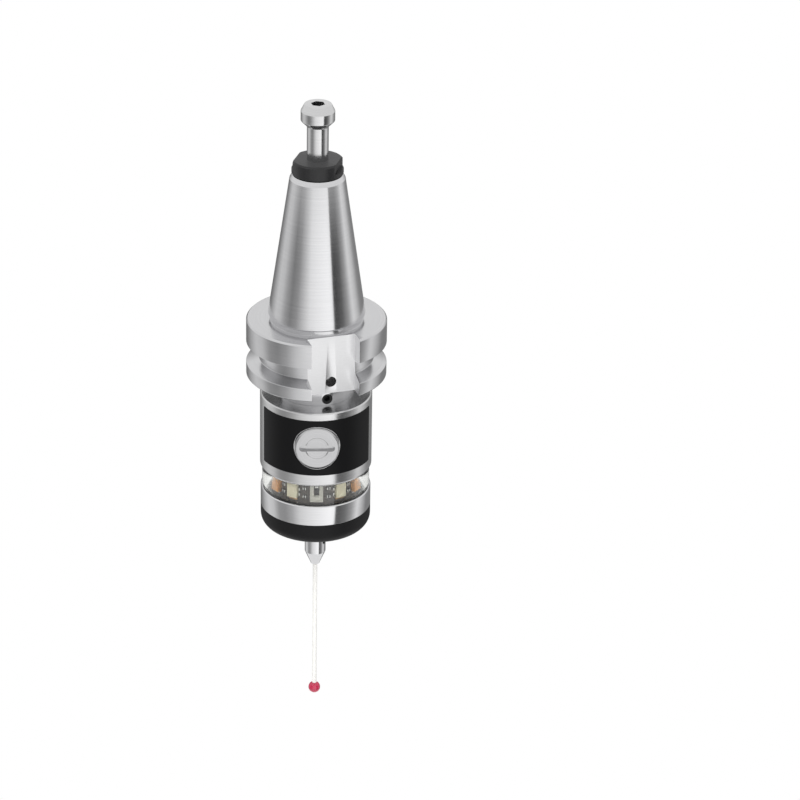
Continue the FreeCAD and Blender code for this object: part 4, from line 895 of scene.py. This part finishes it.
def join(name, pieces):
    """One object from several, keeping each one's materials."""
    work = bmesh.new()
    materials = []
    for piece in pieces:
        first = len(work.faces)
        work.from_mesh(piece.data)
        work.faces.ensure_lookup_table()
        own = piece.data.materials[0]
        if own not in materials:
            materials.append(own)
        for face in work.faces[first:]:
            face.material_index = materials.index(own)
    mesh = bpy.data.meshes.new(name)
    work.to_mesh(mesh)
    work.free()
    for one in materials:
        mesh.materials.append(one)
    for piece in pieces:
        bpy.data.objects.remove(piece)
    made = bpy.data.objects.new(name, mesh)
    scene.collection.objects.link(made)
    shade(mesh, 40.0)
    return made


def on_board(name, pieces, node):
    made = join(name, pieces)
    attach(made, "probe")
    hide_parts(node)
    return made


def part(finish_of, angle, across, up, width, height, depth):
    """A block on the board, its place and its size in millimetres."""
    piece = stand("part", block(width * MM, height * MM, depth * MM), angle,
                  MIDDLE + up * MM, BOARD_OUT, across * MM)
    return dress(piece, finish_of)


RECEIVER = math.radians(30.0)
EMITTER = math.radians(56.0)
CHIP_AT = math.radians(80.0)
sides = [FRONT, FRONT + math.pi]

lamps = []
receivers = []
emitters = []
chips = []
passives = []
for front in sides:
    # The lamp package is a pale U round a dark recess, with a small bright terminal near its open
    # end.
    lamps.append(part(LAMP, front, 0, -1.9, 4.1, 2.1, 1.2))
    lamps.append(part(LAMP, front, -1.45, 0.9, 1.2, 3.9, 1.2))
    lamps.append(part(LAMP, front, 1.45, 0.9, 1.2, 3.9, 1.2))
    lamps.append(part(CHIP, front, 0, 1.0, 1.9, 3.4, 0.5))
    lamps.append(part(SOLDER, front, 0, 2.1, 1.2, 0.5, 0.7))
    for sign in (-1, 1):
        receivers.append(part(CREAM, front + sign * RECEIVER, 0, 0.4, 3.4, 5.0, 1.2))
        receivers.append(part(SOLDER, front + sign * RECEIVER, -sign * 2.1, 0.9, 0.7, 1.0, 0.5))
        receivers.append(part(SOLDER, front + sign * RECEIVER, -sign * 2.1, -0.9, 0.7, 1.0, 0.5))
        receivers.append(part(COPPER, front + sign * RECEIVER, 0, -2.7, 3.0, 0.6, 0.3))
        emitters.append(part(AMBER, front + sign * EMITTER, 0, 0.2, 3.3, 4.4, 1.2))
        emitters.append(part(SOLDER, front + sign * EMITTER, 0, -2.5, 2.4, 0.5, 0.4))
        chips.append(part(CHIP, front + sign * CHIP_AT, 0, 0.0, 3.2, 4.6, 1.2))
        for spot, rise in ((RECEIVER / 2, 1.4), (RECEIVER / 2, -1.4),
                           ((RECEIVER + EMITTER) / 2, 1.3), ((RECEIVER + EMITTER) / 2, -1.0)):
            passives.append(part(SOLDER, front + sign * spot, 0, rise, 1.1, 0.9, 0.7))
            passives.append(part(CHIP, front + sign * spot, 0, rise, 0.5, 0.95, 0.75))

on_board("lamp_packages", lamps, "status_lamps")
on_board("receiver_packages", receivers, "signal_receivers")
on_board("emitter_packages", emitters, "infrared_emitters")
on_board("driver_packages", chips, "driver_chips")
on_board("small_terminals", passives, "board_passives")
dress(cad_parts["sensor_board"], BOARD)


# %% [markdown]
# ## Front cover
#
# A black anodised cap with a well rounded lower edge and a round opening, through which the
# stylus swings.

# %% Front cover
COVER_OUT = widest("front_cover")
COVER_LOW = low("front_cover")
COVER_HIGH = high("front_cover")
COVER_ROUND = 4.2 * MM
COVER_BORE = 15.6 * MM
COVER_FLOOR = 2.0 * MM
OPENING = 8.0 * MM
OPENING_EDGE = 0.5 * MM
KEY_CIRCLE, KEY_RADIUS, KEY_DEPTH = 11.0 * MM, 1.1 * MM, 1.2 * MM


def front_cover():
    """The rounded edge is a quarter circle of profile points; the rest are corners."""
    turn = np.linspace(0.0, math.pi / 2, 20)
    quarter = [(COVER_OUT - COVER_ROUND + COVER_ROUND * math.sin(a),
                COVER_LOW + COVER_ROUND - COVER_ROUND * math.cos(a)) for a in turn]
    inside = COVER_LOW + COVER_FLOOR
    corners = [(OPENING + OPENING_EDGE, COVER_LOW)] + quarter + [
        (COVER_OUT, COVER_HIGH), (COVER_BORE, COVER_HIGH), (COVER_BORE, inside),
        (OPENING, inside), (OPENING, COVER_LOW + OPENING_EDGE)]
    piece = turned("anodised_cover", corners, 0.05 * MM, steps=320)
    holes = []
    for index, sign in enumerate((-1, 1)):
        angle = FRONT + sign * math.pi / 2
        place = Matrix.Translation((KEY_CIRCLE * math.cos(angle), KEY_CIRCLE * math.sin(angle), 0))
        holes.append(prism(f"key_cutter_{index}", circle(KEY_RADIUS, 48), COVER_LOW - 1.0 * MM,
                           COVER_LOW + KEY_DEPTH, place))
    return cut(piece, *holes)


cover = dress(front_cover(), ANODISED)
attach(cover, "probe")
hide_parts("front_cover")


# %% [markdown]
# ## Stylus
#
# A bright turned root with a cross hole for a tightening pin, a cone, a white ceramic stem
# and a ruby ball. All of it tilts and lifts as one piece when the ball touches the work.

# %% Stylus root, stem and ball
SEAT = low("stylus_holder")
CONE_FOOT = low("stylus_body")
CONE_TOP = CONE_FOOT + 4.85 * MM
CONE_END = 1.4 * MM           # radius at the foot of the cone
ROOT = widest("stylus_body")
STEM_FOOT = low("stylus_stem")
STEM_RADIUS = widest("stylus_stem")
BALL_LOW, BALL_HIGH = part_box("stylus_ball")
BALL_RADIUS = (BALL_HIGH.x - BALL_LOW.x) / 2
BALL_CENTRE = BALL_LOW.z + BALL_RADIUS
CROSS_TURN = math.radians(-47.0)
CROSS_LEVEL = CONE_TOP + 4.0 * MM
CROSS_RADIUS = 0.8 * MM
STEM_SINK = 1.0 * MM         # how far the stem goes up into the cone


def stylus_root():
    corners = [(0.0, CONE_FOOT), (CONE_END, CONE_FOOT), (ROOT, CONE_TOP), (ROOT, SEAT),
               (0.0, SEAT)]
    piece = turned("stylus_root", corners, 0.15 * MM, steps=160)
    return cut(piece, prism("cross_cutter", circle(CROSS_RADIUS, 64), -5 * MM, 5 * MM,
                            along(CROSS_TURN, CROSS_LEVEL)))


def ball(name, centre, radius, rows=96, columns=160):
    """A sphere: r = R sin t and z = centre - R cos t, t from pole to pole, carried round Z."""
    t = np.linspace(0.0, math.pi, rows)
    profile = [(radius * math.sin(a), centre - radius * math.cos(a)) for a in t]
    return turned(name, profile, 0.0, steps=columns)


root = dress(stylus_root(), BRIGHT)
stem = dress(turned("ceramic_stem", [
    (0.0, STEM_FOOT), (STEM_RADIUS, STEM_FOOT), (STEM_RADIUS, CONE_FOOT + STEM_SINK),
    (0.0, CONE_FOOT + STEM_SINK)], 0.02 * MM, steps=64), CERAMIC)
tip = dress(ball("ruby_ball", BALL_CENTRE, BALL_RADIUS), RUBY)
for piece, slot, node in ((root, "bright_steel", "stylus_body"),
                          (stem, "white_ceramic", "stylus_stem"), (tip, "ruby", "stylus_ball")):
    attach(piece, "stylus")
    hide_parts(node)


# %% [markdown]
# ## The pieces that keep their CAD shape
#
# Small screws and everything inside the probe are already right in the CAD model. They only
# get a better finish.

# %% Finishes for the CAD pieces
KEPT = {
    "clamp_screws": OXIDE, "centring_screws": OXIDE, "carrier_screws": OXIDE,
    "battery_cap_seal": RUBBER, "window_seals": RUBBER, "seal_diaphragm": RUBBER,
    "battery_cells": CELL, "battery_spring": WIRE, "preload_spring": WIRE,
    "battery_carrier": MOULDED, "main_board": BOARD, "board_chips": CHIP,
    "mechanism_barrel": INNER, "seat_ring": ACETAL, "seat_balls": CELL, "spider_hub": INNER,
    "spider_rods": CELL, "spring_adjuster": BRASS, "stylus_holder": INNER,
}
for node, one in KEPT.items():
    dress(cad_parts[node], one)
print("kept CAD pieces:", len(KEPT) + 1)


# %% [markdown]
# ## Camera
#
# The camera stands in front of the tool, a little to its left and 25 degrees above the
# horizon, far enough away that the two ends look almost parallel.

# %% Camera
AIM = Vector((0.0, 0.0, -20.0 * MM))
AZIMUTH = math.radians(-17.0)
ELEVATION = math.radians(25.14)
ROLL = math.radians(0.37)
DISTANCE = 1.1275
LENS = 154.6
back = Vector((math.sin(AZIMUTH) * math.cos(ELEVATION), -math.cos(AZIMUTH) * math.cos(ELEVATION),
               math.sin(ELEVATION)))
eye = bpy.data.cameras.new("camera")
eye.lens = LENS
eye.sensor_width = 36.0
eye.clip_end = 20.0
camera = bpy.data.objects.new("camera", eye)
scene.collection.objects.link(camera)
camera.location = AIM + back * DISTANCE
level = (-back).to_track_quat("-Z", "Y").to_matrix()
camera.rotation_euler = (level @ Matrix.Rotation(ROLL, 3, "Z")).to_euler()
eye.shift_x = 0.1046
eye.shift_y = -0.0415
scene.camera = camera


# %% [markdown]
# ## Floor, background and light
#
# Polished steel shows its surroundings more than its own colour, so a product photographer
# lights the room, not the part. Round the tool stands a tent of white cloth, bright in front,
# dim in places, with a black card at its right that draws the one crisp dark line down every
# turned piece. Only reflections see the tent. The floor and the world are white to the
# camera, to reflections and to clear plastic, and plain and pale to all other light.

# %% Floor and world
WHITE = linear("#ffffff")


def looked_at(tree):
    """One where the camera, a reflection or clear plastic looks, and zero for other light."""
    rays = add(tree, "ShaderNodeLightPath")
    plain = add(tree, "ShaderNodeMath", [(0, rays.outputs["Is Camera Ray"]),
                                         (1, rays.outputs["Is Transmission Ray"])],
                operation="MAXIMUM")
    both = add(tree, "ShaderNodeMath", [(0, plain.outputs["Value"]),
                                        (1, rays.outputs["Is Glossy Ray"])], operation="MAXIMUM")
    return both.outputs["Value"]


def pale_floor():
    made = bpy.data.materials.new("pale_floor")
    made.use_nodes = True
    tree = made.node_tree
    tree.nodes.clear()
    glow = add(tree, "ShaderNodeEmission", Color=WHITE, Strength=1.0)
    body = add(tree, "ShaderNodeBsdfDiffuse", Color=linear("#f2f2f2"))
    mixed = add(tree, "ShaderNodeMixShader", [(0, looked_at(tree)), (1, body.outputs["BSDF"]),
                                              (2, glow.outputs["Emission"])])
    add(tree, "ShaderNodeOutputMaterial", [("Surface", mixed.outputs["Shader"])])
    return made


FLOOR_HALF = 4.0
FLOOR_DROP = 250.0 * MM
FLOOR_LEVEL = cad_low.z - FLOOR_DROP
floor_mesh = bpy.data.meshes.new("floor")
floor_corners = [(x * FLOOR_HALF, y * FLOOR_HALF, FLOOR_LEVEL)
                 for x, y in ((-1, -1), (1, -1), (1, 1), (-1, 1))]
floor_mesh.from_pydata(floor_corners, [], [(0, 1, 2, 3)])
floor = bpy.data.objects.new("floor", floor_mesh)
scene.collection.objects.link(floor)
floor_mesh.materials.append(pale_floor())

world = bpy.data.worlds.new("studio")
scene.world = world
world.use_nodes = True
sky = world.node_tree.nodes["Background"]
sky.inputs["Color"].default_value = WHITE
strength = add(world.node_tree, "ShaderNodeMapRange", [("Value", looked_at(world.node_tree))])
strength.inputs["To Min"].default_value = 0.6
strength.inputs["To Max"].default_value = 1.0
world.node_tree.links.new(strength.outputs["Result"], sky.inputs["Strength"])


# %% [markdown]
# The tent is an upright tube. How bright it is depends on the angle round the tool, counted
# from the camera, and on the height: one list for the cloth below the tool's middle, which
# upright faces show, and one for the cloth beside it, which the taper shows. Between the
# listed angles the brightness runs smoothly. Above the tool the cloth is plain white.

# %% Light tent
TENT = [
    # degrees to the right of the camera, brightness low down, brightness beside the tool
    (-180, 0.15, 0.18), (-160, 0.17, 0.20), (-144, 0.31, 0.26), (-128, 0.58, 0.48),
    (-112, 0.82, 0.75), (-96, 0.74, 0.72), (-80, 0.39, 0.48), (-64, 0.36, 0.23),
    (-48, 0.52, 0.32), (-32, 0.85, 0.66), (-16, 1.0, 1.09), (0, 1.12, 1.21),
    (16, 1.24, 1.29), (30, 1.34, 1.34), (39, 1.3, 1.3), (42, 0.12, 0.05), (50, 0.14, 0.05),
    (64, 0.22, 0.12), (80, 0.45, 0.42), (96, 0.94, 0.94), (112, 0.6, 0.79),
    (128, 0.28, 0.43), (144, 0.26, 0.27), (160, 0.24, 0.3), (180, 0.15, 0.18),
]
TENT_RADIUS = 0.3
TENT_WHITE = 0.95
# In metres: just over the floor, the top of the low cloth, beside the tool, over it, the rim.
TENT_LEVELS = [FLOOR_LEVEL + 0.002, -0.16, -0.02, 0.09, 0.6]


def light_tent():
    """A grid of angles and levels; each point carries its brightness as an attribute, which
    the glowing material reads."""
    toward = math.atan2(back.y, back.x)
    turn = np.arange(-180.0, 180.0, 1.0)
    listed = np.array(TENT)
    low_cloth = np.interp(turn, listed[:, 0], listed[:, 1])
    beside = np.interp(turn, listed[:, 0], listed[:, 2])
    above = np.full(len(turn), TENT_WHITE)
    glow = np.stack([low_cloth, low_cloth, beside, above, above])
    angle = toward + np.radians(turn)
    grid = np.stack([np.broadcast_to(TENT_RADIUS * np.cos(angle), glow.shape),
                     np.broadcast_to(TENT_RADIUS * np.sin(angle), glow.shape),
                     np.repeat(np.array(TENT_LEVELS)[:, None], len(turn), axis=1)], axis=-1)
    mesh = bpy.data.meshes.new("light_tent")
    mesh.from_pydata(grid.reshape(-1, 3).tolist(), [], ring_faces(*glow.shape, wrap_rows=False))
    mesh.attributes.new("glow", "FLOAT", "POINT").data.foreach_set("value", glow.ravel())
    made = bpy.data.materials.new("tent_cloth")
    made.use_nodes = True
    tree = made.node_tree
    tree.nodes.clear()
    carried = add(tree, "ShaderNodeAttribute", attribute_name="glow")
    lit = add(tree, "ShaderNodeEmission", [("Strength", carried.outputs["Fac"])], Color=WHITE)
    add(tree, "ShaderNodeOutputMaterial", [("Surface", lit.outputs["Emission"])])
    mesh.materials.append(made)
    piece = bpy.data.objects.new("light_tent", mesh)
    scene.collection.objects.link(piece)
    piece.visible_camera = False
    piece.visible_diffuse = False
    piece.visible_shadow = False
    piece.visible_transmission = False


light_tent()


# %% Lamps
def lamp(name, azimuth, elevation, distance, size, power):
    """A square soft lamp that looks at the tool; its angle is counted from the camera's side."""
    angle = math.atan2(back.y, back.x) + math.radians(azimuth)
    rise = math.radians(elevation)
    place = Vector((math.cos(angle) * math.cos(rise), math.sin(angle) * math.cos(rise),
                    math.sin(rise)))
    light = bpy.data.lights.new(name, "AREA")
    light.size = size
    light.energy = power
    piece = bpy.data.objects.new(name, light)
    scene.collection.objects.link(piece)
    piece.location = AIM + place * distance
    piece.rotation_euler = (-place).to_track_quat("-Z", "Y").to_euler()
    piece.visible_glossy = False
    return piece


lamp("key_lamp", -35, 50, 1.4, 0.8, 16.0)
lamp("fill_lamp", 50, 35, 1.6, 1.0, 9.0)
lamp("back_lamp", 170, 60, 1.6, 1.0, 6.0)
